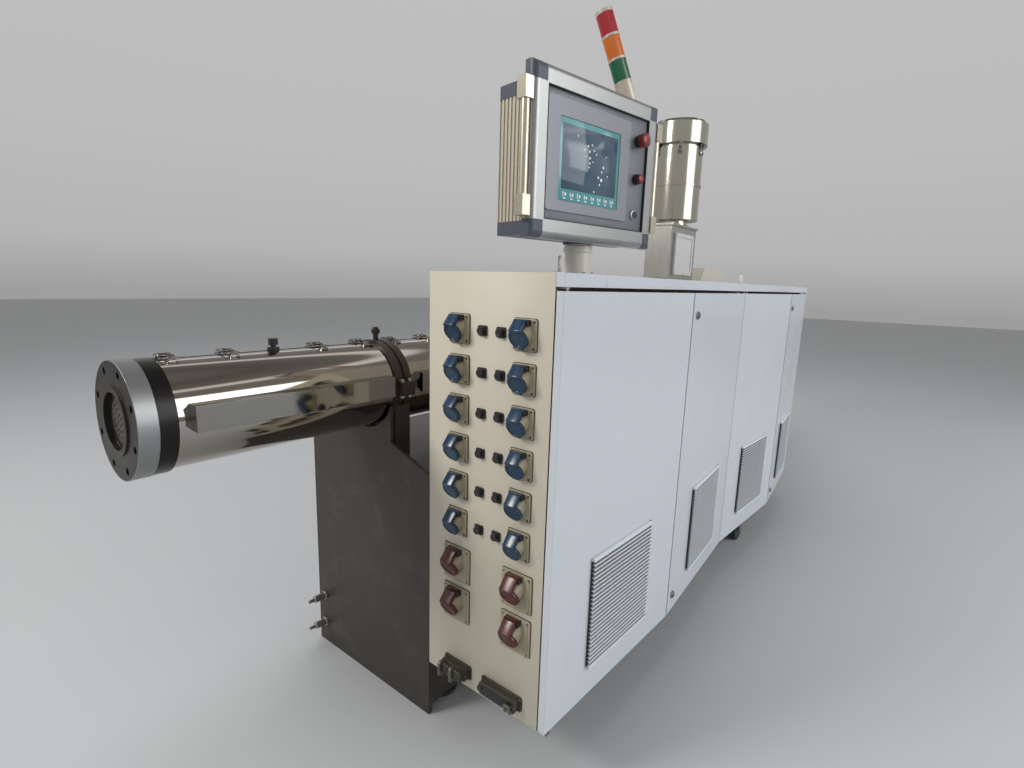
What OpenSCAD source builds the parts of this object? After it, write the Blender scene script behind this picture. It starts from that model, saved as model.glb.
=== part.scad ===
// Single-screw plastic extruder with a control cabinet along its side.
// X runs along the screw axis from the die to the drive, Z is up and the floor is Z = 0.
// The origin is on the floor under the screw axis, in the plane of the cabinet's front.

/* [Screw line] */
// Height of the screw axis above the floor
axis_z = 1000; // [960:1:1040]
// Distance of the die flange's front face before the support plate
nose = 647; // [560:1:700]
// Bore of the barrel
screw_d = 90; // [75:1:95]
// Outside diameter of the barrel tube
barrel_d = 150; // [140:1:170]
// Outside diameter of the die flange
die_flange_d = 265; // [255:1:290]
// Thickness of the die flange without its lip
die_flange_t = 39; // [30:1:50]
// Diameter of the bolt circle in the die flange
bolt_circle_d = 225; // [215:1:232]
// Diameter of a bolt hole in the die flange
bolt_hole_d = 17.5; // [13:0.5:22]
// Number of bolt holes in the die flange
bolt_holes = 8; // [6:1:12]
// Outside diameter of the raised sealing lip
lip_d = 154; // [140:1:180]
// Inside diameter of the raised sealing lip
lip_bore_d = 128; // [115:1:134]
// Height of the raised sealing lip
lip_h = 4; // [2:0.5:8]
// Diameter of the breaker plate
breaker_d = 100; // [96:1:108]
// Thickness of the breaker plate
breaker_t = 20; // [12:1:26]
// Diameter of a hole in the breaker plate
breaker_hole_d = 7; // [4:0.5:8]
// Diameter of the barrel's own flange
barrel_flange_d = 262; // [255:1:280]
// Thickness of the barrel's own flange
barrel_flange_t = 37; // [28:1:45]

/* [Heater zones] */
// Number of heater covers along the barrel
zones = 4; // [3:1:4]
// Outside diameter of a heater cover
cover_d = 252; // [240:1:256]
// Wall of a heater cover
cover_wall = 3; // [2:0.5:5]
// Outside diameter of a clamp ring between two covers
clamp_d = 268; // [260:1:280]
// Width of a clamp ring
clamp_w = 56; // [44:1:64]
// Front face of the first clamp ring, behind the support plate's face
clamp_x = 17; // [12:1:24]
// Length of a wiring duct
duct_len = 534; // [480:1:545]
// Distance of a duct's outer face from the screw axis
duct_reach = 156; // [150:1:170]
// Height of a wiring duct
duct_h = 58; // [44:1:66]

/* [Base] */
// Width of the base frame and the support plate
base_w = 580; // [560:1:600]
// Height of the base frame's front deck
deck_z = 765; // [740:1:780]
// Height of the base frame's rear deck under the motor
rear_deck_z = 685; // [660:1:700]
// Thickness of the support plate
plate_t = 12; // [8:1:20]
// Height of the support plate's shoulders
shoulder_z = 775; // [766:1:790]
// Height of the support plate beside its column
saddle_z = 837; // [820:1:850]
// Width of the support plate's column
column_w = 248; // [220:1:260]
// Clearance of the base frame's hull above the floor
foot_h = 30; // [20:1:45]
// Diameter of a levelling foot
foot_d = 110; // [90:1:130]

/* [Feed and drive] */
// Centre of the feed opening along the machine
feed_x = 2292; // [2280:1:2300]
// Diameter of the feed housing's front flange
feed_flange_d = 300; // [280:1:330]
// Length of the hopper box
hopper_l = 393; // [370:1:410]
// Width of the hopper box
hopper_w = 154; // [140:1:180]
// Height where the hopper box's straight walls begin
hopper_low_z = 1375; // [1360:1:1400]
// Height of the hopper box's top
hopper_top_z = 1687; // [1670:1:1700]
// Diameter of the vacuum loader's body
loader_d = 282; // [270:1:292]
// Height of the vacuum loader's body
loader_h = 440; // [420:1:460]
// Diameter of the vacuum loader's head
loader_head_d = 322; // [300:1:332]
// Height of the vacuum loader's head
loader_head_h = 145; // [120:1:160]
// Front face of the gearbox
gearbox_x = 2560; // [2540:1:2580]
// Length of the gearbox
gearbox_l = 620; // [580:1:640]
// Width of the gearbox
gearbox_w = 520; // [480:1:540]
// Height of the gearbox's top
gearbox_top_z = 1300; // [1280:1:1320]
// Width of the drive cover
drive_cover_w = 212; // [200:1:240]
// Height of the drive cover's hump
hump_z = 1453; // [1430:1:1470]
// Rear face of the motor's fan cowl
drive_end_x = 4120; // [4080:1:4160]
// Diameter of the motor's body
motor_d = 500; // [470:1:520]

/* [Cabinet] */
// Length of the cabinet
cab_l = 2690; // [2660:1:2700]
// Depth of the cabinet from the base frame to the door faces
cab_depth = 423; // [410:1:435]
// Height of the cabinet's underside
cab_z = 183; // [175:1:195]
// Height of the roof's top
roof_z = 1343; // [1330:1:1350]
// Height of the roof's edge band
roof_band = 31; // [25:1:40]
// Gap between the roof's edge band and the doors
door_top_gap = 9; // [6:1:12]
// Thickness of the cabinet's sheet
sheet_t = 3; // [2:0.5:4]
// Thickness of a door leaf over its folded edge
door_t = 20; // [16:1:22]
// Gap between two doors
door_gap = 6.5; // [6.5:0.5:8]
// Split between the front and the rear pair of doors
pair_x = 1395; // [1380:1:1405]
// Distance of a door's hinge pin from its edge
hinge_inset = 17; // [17:0.5:19]
// Distance of a door's hinge pin behind its face
hinge_depth = 5; // [5:0.1:5.2]
// Diameter of a door's hinge pin
pin_d = 7; // [6:0.5:8]
// How far the front pair of doors stands ajar
front_ajar = 3; // [1:0.5:4]
// How far the rear pair of doors stands ajar
rear_ajar = 4.5; // [1:0.5:6]
// Width of a ventilation grille
vent_w = 335; // [300:1:350]
// Height of a ventilation grille
vent_h = 330; // [300:1:350]
// Height of a grille's lower edge above the floor
vent_z = 275; // [260:1:300]
// How far a grille stands proud of its door
vent_proud = 12; // [8:0.5:12]
// Number of slats in a grille
vent_slats = 26; // [18:1:28]
// Distance of a lower lock from the door's lower edge
lock_low = 62; // [50:1:80]
// Distance of an upper lock from the door's upper edge
lock_high = 71; // [55:1:90]
// Distance of the front lifting eye before the panel's neck
eye_front = 98; // [88:1:110]
// Distance of the rear lifting eye from the cabinet's rear end
eye_rear = 629; // [560:1:680]
// Distance of the casters from the cabinet's rear end
caster_rear = 798; // [720:1:860]
// Diameter of a caster wheel
wheel_d = 125; // [115:1:130]

/* [Outlets] */
// Rows of blue outlets and sensor sockets
blue_rows = 6; // [4:1:6]
// Height of the top row of outlets
top_row_z = 1200; // [1190:1:1210]
// Distance between two rows of outlets
row_pitch = 105; // [100:1:105]
// Width of a blue outlet's flange
blue_w = 68; // [60:1:76]
// Height of a blue outlet's flange
blue_h = 75; // [68:1:82]
// Width of a red outlet's flange
red_w = 95; // [84:1:98]
// Height of a red outlet's flange
red_h = 102; // [90:1:104]
// Height of the upper red outlet
red_row_z = 550; // [545:1:556]
// Distance between the two rows of red outlets
red_pitch = 120; // [112:1:124]

/* [Operator panel] */
// Width of the operator panel
panel_w = 518; // [490:1:530]
// Height of the operator panel
panel_h = 412; // [400:1:430]
// Depth of the operator panel
panel_depth = 140; // [125:1:160]
// Width of the operator panel's frame profile
profile_w = 48; // [40:1:52]
// Height of the operator panel's underside
panel_z = 1433; // [1425:1:1450]
// Angle by which the operator panel is turned
panel_turn = -10; // [-14:0.5:-6]
// Position of the panel's neck along the cabinet
neck_x = 394; // [380:1:410]
// Position of the panel's neck across the cabinet
neck_y = -498.5; // [-510:0.5:-490]
// Diameter of the panel's neck
neck_d = 77; // [70:1:84]
// Width of the touch screen's bezel
screen_w = 335; // [320:1:340]
// Height of the touch screen's bezel
screen_h = 275; // [260:1:285]
// Angle by which the stack light leans
lamp_lean = 20; // [0:1:24]
// Diameter of the stack light
lamp_d = 52; // [44:1:60]
// Height of one stack light segment
lamp_h = 66; // [60:1:72]

/* [Hidden] */
$fn = 48;
// Clearance of a piece that sits in another
seat = 0.3;
// Running clearance of a hinge pin, on its radius
pin_play = 0.1;
// How far a hinge pin's hole runs into the door
pin_reach = sheet_t + 6;
// How far the support plate stands before the cabinet's front
plate_set = 2;
plate_back = plate_t - plate_set;
half_base = base_w / 2;
door_y = -(half_base + cab_depth);
back_y = -half_base;
door_top = roof_z - roof_band - door_top_gap;
door_h = door_top - cab_z;
inner_y = door_y + door_t + 13;
hinge_y = door_y + hinge_depth;
flange_x = -nose + lip_h + die_flange_t;
cover_x0 = flange_x + barrel_flange_t;
cover_len = clamp_x - cover_x0;
zone_pitch = cover_len + clamp_w;
barrel_end = cover_x0 + zones * zone_pitch;
pair_1 = [0, pair_x];
pair_2 = [pair_x, cab_l];
blue_y = [-612, -403];
socket_y = [-540, -481];
row_z = [for (i = [0 : blue_rows - 1]) top_row_z - i * row_pitch];
red_z = [red_row_z, red_row_z - red_pitch];
roof_mid_y = (door_y + back_y) / 2;
base_l = drive_end_x - 160;
rear_deck_x = gearbox_x + gearbox_l + 40;
foot_xs = [110, 1000, 1900, 2700, 3330, base_l - 100];
caster_x = cab_l - caster_rear;
beam_xs = [110, pair_x - 125, cab_l - 190];
duct_start = 25;
hump_x = [gearbox_x + 68, gearbox_x + 421];
// Depth of the operator panel's frame and rounding of its outer edges
frame_t = 34;
profile_r = frame_t / 2;
// Side of a corner block, a little less than the profile's width, so that the profiles meet
block_w = profile_w - 4;
// The panel's housing is lower and narrower than its frame
housing_low = 8;
housing_top = panel_h - 34;
housing_w = panel_w - 24;
cap_h = 34;
// Length of the stack light's base tube
lamp_foot = 81;
latch_offsets = [30, 167, 410, 550];

// Puts a shape whose local Z points out of the outlet panel, with X to the right and Y up
module on_panel(y, z) {
    translate([0, y, z]) rotate([90, 0, -90]) children();
}

// Puts a shape along the screw axis, starting at x
module on_axis(x) {
    translate([x, 0, axis_z]) rotate([0, 90, 0]) children();
}

// A plate with round corners, standing on Z = 0
module round_plate(w, h, t, r) {
    linear_extrude(t) {
        square([w - 2 * r, h], center = true);
        square([w, h - 2 * r], center = true);
        for (sx = [-1, 1], sy = [-1, 1])
            translate([sx * (w / 2 - r), sy * (h / 2 - r)]) circle(r = r);
    }
}

module base_frame() {
    color("#4a3a33") {
        difference() {
            union() {
                translate([plate_back, -half_base, foot_h])
                    cube([rear_deck_x - plate_back, base_w, deck_z - foot_h]);
                translate([plate_back, -half_base, foot_h])
                    cube([base_l - plate_back, base_w, rear_deck_z - foot_h]);
            }
            for (x = [100 : 640 : 3300])
                translate([x, half_base - 12, foot_h + 90]) cube([540, 20, 460]);
            translate([base_l - 12, -half_base + 80, foot_h + 90]) cube([20, base_w - 160, 460]);
        }
        for (x = foot_xs, sy = [-1, 1])
            translate([x, sy * (half_base - foot_d / 2 - 8), 0]) {
                cylinder(d = foot_d, h = 12);
                cylinder(d = 36, h = foot_h);
            }
    }
}

module support_plate() {
    color("#4a3a33")
        difference() {
            translate([-plate_set, 0, 0]) rotate([90, 0, 90]) linear_extrude(plate_t)
                polygon([[-half_base, 0], [half_base, 0], [half_base, shoulder_z],
                    [column_w / 2, saddle_z], [column_w / 2, axis_z], [-column_w / 2, axis_z],
                    [-column_w / 2, saddle_z], [-half_base, shoulder_z]]);
            on_axis(-plate_set - 1) cylinder(d = clamp_d + 2 * seat, h = plate_t + 2, $fn = 96);
        }
}

// Pedestals that carry the clamp rings on the base frame's deck
module barrel_supports() {
    color("#4a3a33")
        for (i = [0 : zones - 1])
            difference() {
                translate([clamp_x + i * zone_pitch, -column_w / 2, deck_z])
                    cube([clamp_w, column_w, axis_z - deck_z - 40]);
                on_axis(clamp_x + i * zone_pitch - 1)
                    cylinder(d = clamp_d + 2 * seat, h = clamp_w + 2, $fn = 96);
            }
}

module barrel() {
    color("#8d8f90")
        on_axis(cover_x0)
            difference() {
                cylinder(d = barrel_d, h = barrel_end - cover_x0, $fn = 96);
                translate([0, 0, -1]) cylinder(d = screw_d, h = barrel_end - cover_x0 - 60, $fn = 96);
            }
}

module barrel_flange() {
    color("#1d1c1c")
        on_axis(flange_x)
            difference() {
                cylinder(d = barrel_flange_d, h = barrel_flange_t, $fn = 96);
                translate([0, 0, -1]) cylinder(d = screw_d, h = barrel_flange_t + 2, $fn = 96);
            }
}

module die_flange() {
    color("#9a9a98")
        on_axis(-nose)
            difference() {
                union() {
                    translate([0, 0, lip_h]) cylinder(d = die_flange_d, h = die_flange_t, $fn = 96);
                    cylinder(d = lip_d, h = lip_h + 1, $fn = 96);
                }
                translate([0, 0, -1]) cylinder(d = lip_bore_d, h = lip_h + 9, $fn = 96);
                translate([0, 0, -1])
                    cylinder(d = breaker_d + 2 * seat, h = lip_h + 9 + breaker_t, $fn = 96);
                translate([0, 0, -1]) cylinder(d = screw_d, h = die_flange_t + lip_h + 2, $fn = 96);
                for (i = [0 : bolt_holes - 1])
                    rotate(i * 360 / bolt_holes + 180 / bolt_holes)
                        translate([bolt_circle_d / 2, 0, -1])
                            cylinder(d = bolt_hole_d, h = die_flange_t + lip_h + 2);
            }
}

// Perforated disc with hexagon-packed rings of holes
module breaker_plate() {
    color("#5d5b58")
        on_axis(-nose + lip_h + 8)
            linear_extrude(breaker_t) difference() {
                circle(d = breaker_d, $fn = 96);
                circle(d = breaker_hole_d, $fn = 10);
                for (ring = [1 : 3], i = [0 : 6 * ring - 1])
                    rotate(i * 60 / ring) translate([ring * 13, 0]) circle(d = breaker_hole_d, $fn = 10);
            }
}

module heater_covers() {
    color("#c9c9c6")
        for (i = [0 : zones - 1])
            on_axis(cover_x0 + i * zone_pitch)
                difference() {
                    cylinder(d = cover_d, h = cover_len, $fn = 96);
                    translate([0, 0, -1]) cylinder(d = cover_d - 2 * cover_wall, h = cover_len + 2, $fn = 96);
                }
}

module barrel_clamps() {
    color("#33291f")
        for (i = [0 : zones - 1])
            translate([clamp_x + i * zone_pitch, 0, axis_z]) {
                difference() {
                    rotate([0, 90, 0]) cylinder(d = clamp_d, h = clamp_w, $fn = 96);
                    translate([-1, 0, 0]) rotate([0, 90, 0])
                        cylinder(d = barrel_d, h = clamp_w + 2, $fn = 96);
                    translate([clamp_w / 2 - 4, 0, 0]) rotate([0, 90, 0])
                        difference() {
                            cylinder(d = clamp_d + 2, h = 8, $fn = 96);
                            translate([0, 0, -1]) cylinder(d = clamp_d - 12, h = 10, $fn = 96);
                        }
                }
                translate([clamp_w / 2, 0, clamp_d / 2 - 5]) cylinder(d = 16, h = 43);
                translate([clamp_w / 2, 0, clamp_d / 2 + 18]) cylinder(d = 27, h = 14, $fn = 6);
                for (sy = [-1, 1])
                    translate([4, sy * (clamp_d / 2 + 6) - 14, -20]) cube([clamp_w - 8, 28, 40]);
            }
}

// Over-centre toggle latches along the top seam of each cover
module cover_latches() {
    color("#b9b9b4")
        for (i = [0 : zones - 1], dx = latch_offsets)
            translate([cover_x0 + i * zone_pitch + dx, 0, axis_z])
                difference() {
                    union() {
                        translate([-16, -9, cover_d / 2 - 5]) cube([32, 30, 9]);
                        translate([-10, -26, cover_d / 2 - 8]) cube([20, 17, 11]);
                        translate([-16, 14, cover_d / 2 + 6]) rotate([0, 90, 0]) cylinder(d = 9, h = 32);
                        translate([-16, -22, cover_d / 2 + 5]) rotate([0, 90, 0]) cylinder(d = 7, h = 32);
                        for (x = [-14, 9]) translate([x, -22, cover_d / 2 + 3]) cube([5, 38, 4]);
                    }
                    translate([-20, 0, 0]) rotate([0, 90, 0])
                        cylinder(d = cover_d + 2 * seat, h = 40, $fn = 96);
                }
}

// Box ducts along both sides of the covers, with their backs cut to the covers' curve
module wiring_ducts() {
    reach = min(duct_len, cover_len - duct_start - 2);
    color("#cfcfcc")
        for (i = [0 : zones - 1], sy = [-1, 1])
            translate([cover_x0 + i * zone_pitch + duct_start, 0, axis_z + 13 - duct_h / 2])
                difference() {
                    translate([0, sy > 0 ? 90 : -duct_reach, 0]) cube([reach, duct_reach - 90, duct_h]);
                    translate([-1, 0, duct_h / 2 - 13]) rotate([0, 90, 0])
                        cylinder(d = cover_d + 2 * seat, h = reach + 2, $fn = 96);
                }
}

module sensor_fittings() {
    color("#2a2a2b")
        for (i = [0 : zones - 1])
            translate([cover_x0 + i * zone_pitch + 283, 0, axis_z])
                difference() {
                    union() {
                        translate([0, 0, cover_d / 2 - 6]) cylinder(d = 30, h = 14);
                        translate([0, 0, cover_d / 2]) cylinder(d = 13, h = 16);
                        translate([0, 0, cover_d / 2 + 14]) cylinder(d = 24, h = 17);
                    }
                    translate([-20, 0, 0]) rotate([0, 90, 0])
                        cylinder(d = cover_d + 2 * seat, h = 40, $fn = 96);
                }
}

module feed_housing() {
    leg_h = axis_z - 150 - deck_z;
    color("#6c6a68") {
        on_axis(barrel_end) cylinder(d = feed_flange_d, h = 60, $fn = 96);
        translate([barrel_end + 60, -150, axis_z - 150]) cube([gearbox_x - barrel_end - 110, 300, 300]);
        on_axis(gearbox_x - 50) cylinder(d = 330, h = 50, $fn = 96);
        translate([feed_x - 110, -90, axis_z + 150]) cube([220, 180, 30]);
        for (x = [barrel_end + 120, gearbox_x - 178]) translate([x, -130, deck_z]) cube([60, 260, leg_h]);
    }
}

// The walls run a little way into the flange and the top plate, so that they stay one piece
module hopper_box() {
    throat_z = axis_z + 180;
    run_in = 6;
    color("#c4c4c1") {
        translate([feed_x, hopper_w / 2, 0]) rotate([90, 0, 0]) linear_extrude(hopper_w)
            polygon([[-80, throat_z + 14], [-80, throat_z + 14 - run_in], [80, throat_z + 14 - run_in],
                [80, throat_z + 14], [hopper_l / 2, hopper_low_z],
                [hopper_l / 2, hopper_top_z - 12 + run_in], [-hopper_l / 2, hopper_top_z - 12 + run_in],
                [-hopper_l / 2, hopper_low_z]]);
        translate([feed_x - 105, -85, throat_z]) cube([210, 170, 14]);
        translate([feed_x - hopper_l / 2 - 10, -hopper_w / 2 - 10, hopper_top_z - 12])
            cube([hopper_l + 20, hopper_w + 20, 12]);
    }
}

module hopper_window() {
    win_w = hopper_l - 110;
    win_h = hopper_top_z - hopper_low_z - 70;
    color("#e6e6e2")
        translate([feed_x, -hopper_w / 2, hopper_low_z + win_h / 2 + 20]) rotate([90, 0, 0])
            difference() {
                round_plate(win_w, win_h, 12, 8);
                translate([0, 0, 7]) round_plate(win_w - 44, win_h - 44, 6, 6);
            }
}

module loader_body() {
    color("#cdcdca")
        translate([feed_x, 0, hopper_top_z]) {
            cylinder(d = 170, h = 30, $fn = 96);
            translate([0, 0, 30]) cylinder(d = loader_d, h = loader_h - 30, $fn = 96);
            translate([0, 0, loader_h / 2]) cylinder(d = loader_d + 8, h = 14, $fn = 96);
            translate([0, 0, loader_h - 110]) rotate([-90, 0, 0]) {
                cylinder(d = 76, h = loader_d / 2 + 10);
                cylinder(d = 60, h = loader_d / 2 + 70);
            }
        }
}

module loader_head() {
    rim_z = 14;
    color("#d3d3d0")
        translate([feed_x, 0, hopper_top_z + loader_h]) {
            cylinder(d = loader_d - 14, h = rim_z, $fn = 96);
            translate([0, 0, rim_z]) cylinder(d = loader_head_d, h = loader_head_h - rim_z - 16, $fn = 96);
            translate([0, 0, loader_head_h - 16])
                cylinder(d1 = loader_head_d, d2 = loader_head_d - 26, h = 16, $fn = 96);
        }
}

// Toggle clips that draw the head down onto the body
module loader_clips() {
    lever = [9, 24, 62];
    color("#b9b9b4")
        translate([feed_x, 0, hopper_top_z + loader_h])
            for (a = [25 : 60 : 325])
                rotate(a) difference() {
                    union() {
                        translate([loader_d / 2 - 3, -lever[1] / 2, 14 - lever[2]]) cube(lever);
                        translate([loader_d / 2 - 3, -8, -14])
                            cube([(loader_head_d - loader_d) / 2 + 8, 16, 28]);
                        translate([loader_d / 2 + 8, -14, -36]) rotate([-90, 0, 0]) cylinder(d = 9, h = 28);
                    }
                    translate([0, 0, -60]) cylinder(d = loader_d + 2 * seat, h = 90, $fn = 96);
                }
}

module loader_control_box() {
    box_h = 308;
    color("#cfcfcb")
        translate([feed_x + loader_d / 2 - 20, 0, hopper_top_z + 46])
            difference() {
                translate([0, -75, 0]) cube([66, 150, box_h]);
                translate([20 - loader_d / 2, 0, -1])
                    cylinder(d = loader_d + 2 * seat, h = box_h + 2, $fn = 96);
                translate([20 - loader_d / 2, 0, loader_h / 2 - 46 - seat])
                    cylinder(d = loader_d + 8 + 2 * seat, h = 14 + 2 * seat, $fn = 96);
            }
}

// Cast gear case with a split flange, ribs and a bearing cover
module gearbox() {
    color("#5f6b73") {
        translate([gearbox_x, -gearbox_w / 2, deck_z + 30])
            cube([gearbox_l, gearbox_w, gearbox_top_z - deck_z - 30]);
        translate([gearbox_x, -gearbox_w / 2 - 25, deck_z]) cube([gearbox_l + 10, gearbox_w + 50, 30]);
        translate([gearbox_x, -gearbox_w / 2 - 15, axis_z - 15]) cube([gearbox_l + 5, gearbox_w + 30, 30]);
        for (x = [60 : 165 : gearbox_l - 60], sy = [-1, 1])
            translate([gearbox_x + x - 8, sy * (gearbox_w / 2 + 7) - 8, deck_z + 30])
                cube([16, 16, gearbox_top_z - deck_z - 60]);
        on_axis(gearbox_x + gearbox_l) cylinder(d = 300, h = 28, $fn = 96);
    }
}

// Foot-mounted motor with cooling ribs, a terminal box and a fan cowl
module drive_motor() {
    motor_x = gearbox_x + gearbox_l + 190;
    color("#4d5a63") {
        on_axis(motor_x) cylinder(d = motor_d - 20, h = drive_end_x - motor_x - 170, $fn = 96);
        on_axis(motor_x) cylinder(d = motor_d, h = 30, $fn = 96);
        on_axis(drive_end_x - 200) cylinder(d = motor_d, h = 200, $fn = 96);
        on_axis(gearbox_x + gearbox_l + 28) cylinder(d = 110, h = motor_x - gearbox_x - gearbox_l - 28);
        for (a = [30 : 12 : 330])
            translate([motor_x + 30, 0, axis_z]) rotate([a, 0, 0])
                translate([0, -2, motor_d / 2 - 16]) cube([drive_end_x - motor_x - 230, 4, 14]);
        for (x = [motor_x + 90, drive_end_x - 330], sy = [-1, 1])
            translate([x - 50, sy * 180 - 60, rear_deck_z]) cube([100, 120, 190]);
        translate([motor_x + 120, -110, axis_z + motor_d / 2 - 20]) cube([240, 220, 90]);
    }
}

// Sheet cover over the gear case and the coupling, with a hump between sloped sides
module drive_cover() {
    color("#e4dfcf") {
        translate([0, drive_cover_w / 2, 0]) rotate([90, 0, 0]) linear_extrude(drive_cover_w)
            polygon([[gearbox_x + 10, gearbox_top_z], [gearbox_x + gearbox_l - 10, gearbox_top_z],
                [gearbox_x + gearbox_l - 10, gearbox_top_z + 60], [hump_x[1], hump_z], [hump_x[0], hump_z],
                [gearbox_x + 10, gearbox_top_z + 60]]);
        difference() {
            translate([rear_deck_x, -170, rear_deck_z]) cube([145, 340, 520]);
            on_axis(rear_deck_x - 1) cylinder(d = 112, h = 147);
        }
    }
}

module cabinet_back() {
    color("#e9e4d6")
        translate([sheet_t, back_y - sheet_t, cab_z])
            cube([cab_l - 2 * sheet_t, sheet_t, roof_z - roof_band - cab_z]);
}

module cabinet_rear() {
    wall_h = roof_z - roof_band - cab_z;
    color("#e9e4d6") {
        translate([cab_l - sheet_t, inner_y, cab_z]) cube([sheet_t, back_y - inner_y, wall_h]);
        translate([cab_l - 28, inner_y, cab_z + 25]) cube([28, sheet_t, wall_h - 25]);
    }
}

module cabinet_floor() {
    color("#d8d3c5") {
        translate([sheet_t, inner_y, cab_z]) cube([cab_l - 2 * sheet_t, back_y - sheet_t - inner_y, 20]);
        for (x = beam_xs) translate([x, inner_y + 20, cab_z - 40]) cube([60, back_y - inner_y - 20, 40]);
    }
}

module door_post() {
    color("#e9e4d6")
        translate([pair_x - 30, inner_y, cab_z + 20]) cube([60, 40, roof_z - roof_band - cab_z - 20]);
}

module front_panel() {
    color("#e6dfca")
        union() {
            translate([0, inner_y, cab_z]) cube([sheet_t, back_y - inner_y, roof_z - roof_band - cab_z]);
            translate([0, inner_y, cab_z + 20]) cube([25, sheet_t, roof_z - roof_band - cab_z - 20]);
        }
}

// Two roof lids with a folded edge band, butted at the seam
module roof() {
    seam_x = 186;
    color("#efece2")
        for (span = [[0, seam_x - 0.5], [seam_x + 0.5, cab_l]])
            difference() {
                translate([span[0], door_y, roof_z - roof_band])
                    cube([span[1] - span[0], back_y - door_y, roof_band]);
                translate([span[0] + sheet_t, door_y + sheet_t, roof_z - roof_band - 1])
                    cube([span[1] - span[0] - 2 * sheet_t, back_y - door_y - 2 * sheet_t,
                        roof_band + 1 - sheet_t]);
            }
}

module lifting_eyes() {
    color("#e6dfca")
        for (eye = [[neck_x - eye_front, 33], [cab_l - eye_rear, 0]])
            translate([eye[0], roof_mid_y, roof_z]) rotate(eye[1]) {
                cylinder(d = 36, h = 10);
                translate([0, 0, 32]) rotate([90, 0, 0])
                    rotate_extrude() translate([17, 0]) circle(d = 11, $fn = 24);
            }
}

// Angled outlet housing on a square flange; its face looks down and forward
module outlet_base(w, h, reach) {
    body_d = w - 8;
    color("#d9cfae") {
        round_plate(w, h, 7, 6);
        difference() {
            translate([0, h * 0.12, 0]) rotate([22, 0, 0]) translate([0, 0, -20])
                cylinder(d = body_d, h = reach + 20);
            translate([-w, -h, -60]) cube([2 * w, 2 * h, 60]);
        }
    }
}

module outlet_lid(w, h, reach) {
    translate([0, h * 0.12, 0]) rotate([22, 0, 0]) translate([0, 0, reach + seat]) {
        cylinder(d = w - 4, h = 12);
        translate([0, 0, 12]) cylinder(d1 = w - 4, d2 = w - 20, h = 6);
        translate([-w * 0.28, w / 2 - 4 + seat, -16]) cube([w * 0.56, 11, 30]);
        translate([-w * 0.28, 0, 4]) cube([w * 0.56, w / 2 + 7, 10]);
    }
}

module outlet_bases() {
    for (y = blue_y, z = row_z) on_panel(y, z) outlet_base(blue_w, blue_h, 34);
    for (y = blue_y, z = red_z) on_panel(y, z) outlet_base(red_w, red_h, 44);
}

module blue_lids() {
    color("#2f6fae")
        for (y = blue_y, z = row_z) on_panel(y, z) outlet_lid(blue_w, blue_h, 34);
}

module red_lids() {
    color("#7c2a22")
        for (y = blue_y, z = red_z) on_panel(y, z) outlet_lid(red_w, red_h, 44);
}

module sensor_sockets() {
    color("#1b1a1b")
        for (y = socket_y, z = row_z)
            on_panel(y, z) {
                round_plate(28, 26, 5, 4);
                translate([0, 0, 5]) cylinder(d = 20, h = 9);
            }
}

// One heavy multi-pin connector with its hood and locking lever
module bus_connector(w) {
    round_plate(w, 43, 8, 5);
    translate([0, 0, 8]) round_plate(w - 14, 34, 26, 5);
    translate([0, -6, 34]) round_plate(w - 30, 20, 6, 4);
    for (sx = [-1, 1]) {
        translate([sx * (w / 2 - 4) - 3, -8, 8]) cube([6, 16, 24]);
        translate([sx * (w / 2 - 10), 0, 21]) rotate([0, sx * 90, 0]) cylinder(d = 12, h = 12);
    }
}

module bus_connectors() {
    color("#7d7c72") {
        on_panel(-412, 232) bus_connector(102);
        on_panel(-572, 232) bus_connector(139);
    }
}

module caster_forks() {
    color("#6f6f6d")
        for (y = [door_y + 60, back_y - 60])
            translate([caster_x, y, 0]) {
                translate([-45, -40, cab_z - 6]) cube([90, 80, 6]);
                translate([0, 0, wheel_d + 14]) cylinder(d = 60, h = cab_z - 20 - wheel_d);
                translate([-28, -28, wheel_d + 8]) cube([56, 56, 6]);
                for (sy = [-1, 1])
                    translate([-20, sy * 24 - 3, wheel_d / 2 - 14]) cube([40, 6, wheel_d / 2 + 26]);
                translate([0, -32, wheel_d / 2]) rotate([-90, 0, 0]) cylinder(d = 14, h = 64);
            }
}

module caster_wheels() {
    color("#26282a")
        for (y = [door_y + 60, back_y - 60])
            translate([caster_x, y - 18, wheel_d / 2]) rotate([-90, 0, 0])
                difference() {
                    cylinder(d = wheel_d, h = 36, $fn = 64);
                    translate([0, 0, -1]) cylinder(d = 14 + 2 * seat, h = 38);
                }
}

module water_fittings() {
    color("#8f8e8a")
        for (z = [84, 187])
            translate([-plate_set, 250, z]) rotate([0, -90, 0]) {
                cylinder(d = 34, h = 8, $fn = 6);
                cylinder(d = 24, h = 46);
                cylinder(d = 12, h = 68);
            }
}

module panel_neck() {
    color("#cfcabb")
        translate([neck_x, neck_y, roof_z]) {
            cylinder(d = neck_d + 26, h = 8);
            cylinder(d = neck_d, h = panel_z - roof_z - seat, $fn = 64);
            translate([0, 0, panel_z - roof_z - 22]) cylinder(d = neck_d + 7, h = 16, $fn = 64);
        }
}

// Lugs above and below each door, with the pins that the doors turn on
module door_hinges() {
    low = cab_z - 10;
    color("#8f8e8a")
        for (n = [1 : 4])
            translate([door_hinge(n), hinge_y, 0]) {
                translate([0, 0, low]) cylinder(d = pin_d, h = cab_z + pin_reach - 1 - low);
                translate([-8, -8, low]) cube([16, inner_y - hinge_y + 28, 4]);
                translate([-8, inner_y - hinge_y, low]) cube([16, 20, cab_z - low]);
                translate([0, 0, door_top - pin_reach + 1])
                    cylinder(d = pin_d, h = pin_reach - 1 + door_top_gap);
                translate([-8, -3, door_top + 5]) cube([16, inner_y - hinge_y + 3, door_top_gap - 5]);
            }
}

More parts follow.
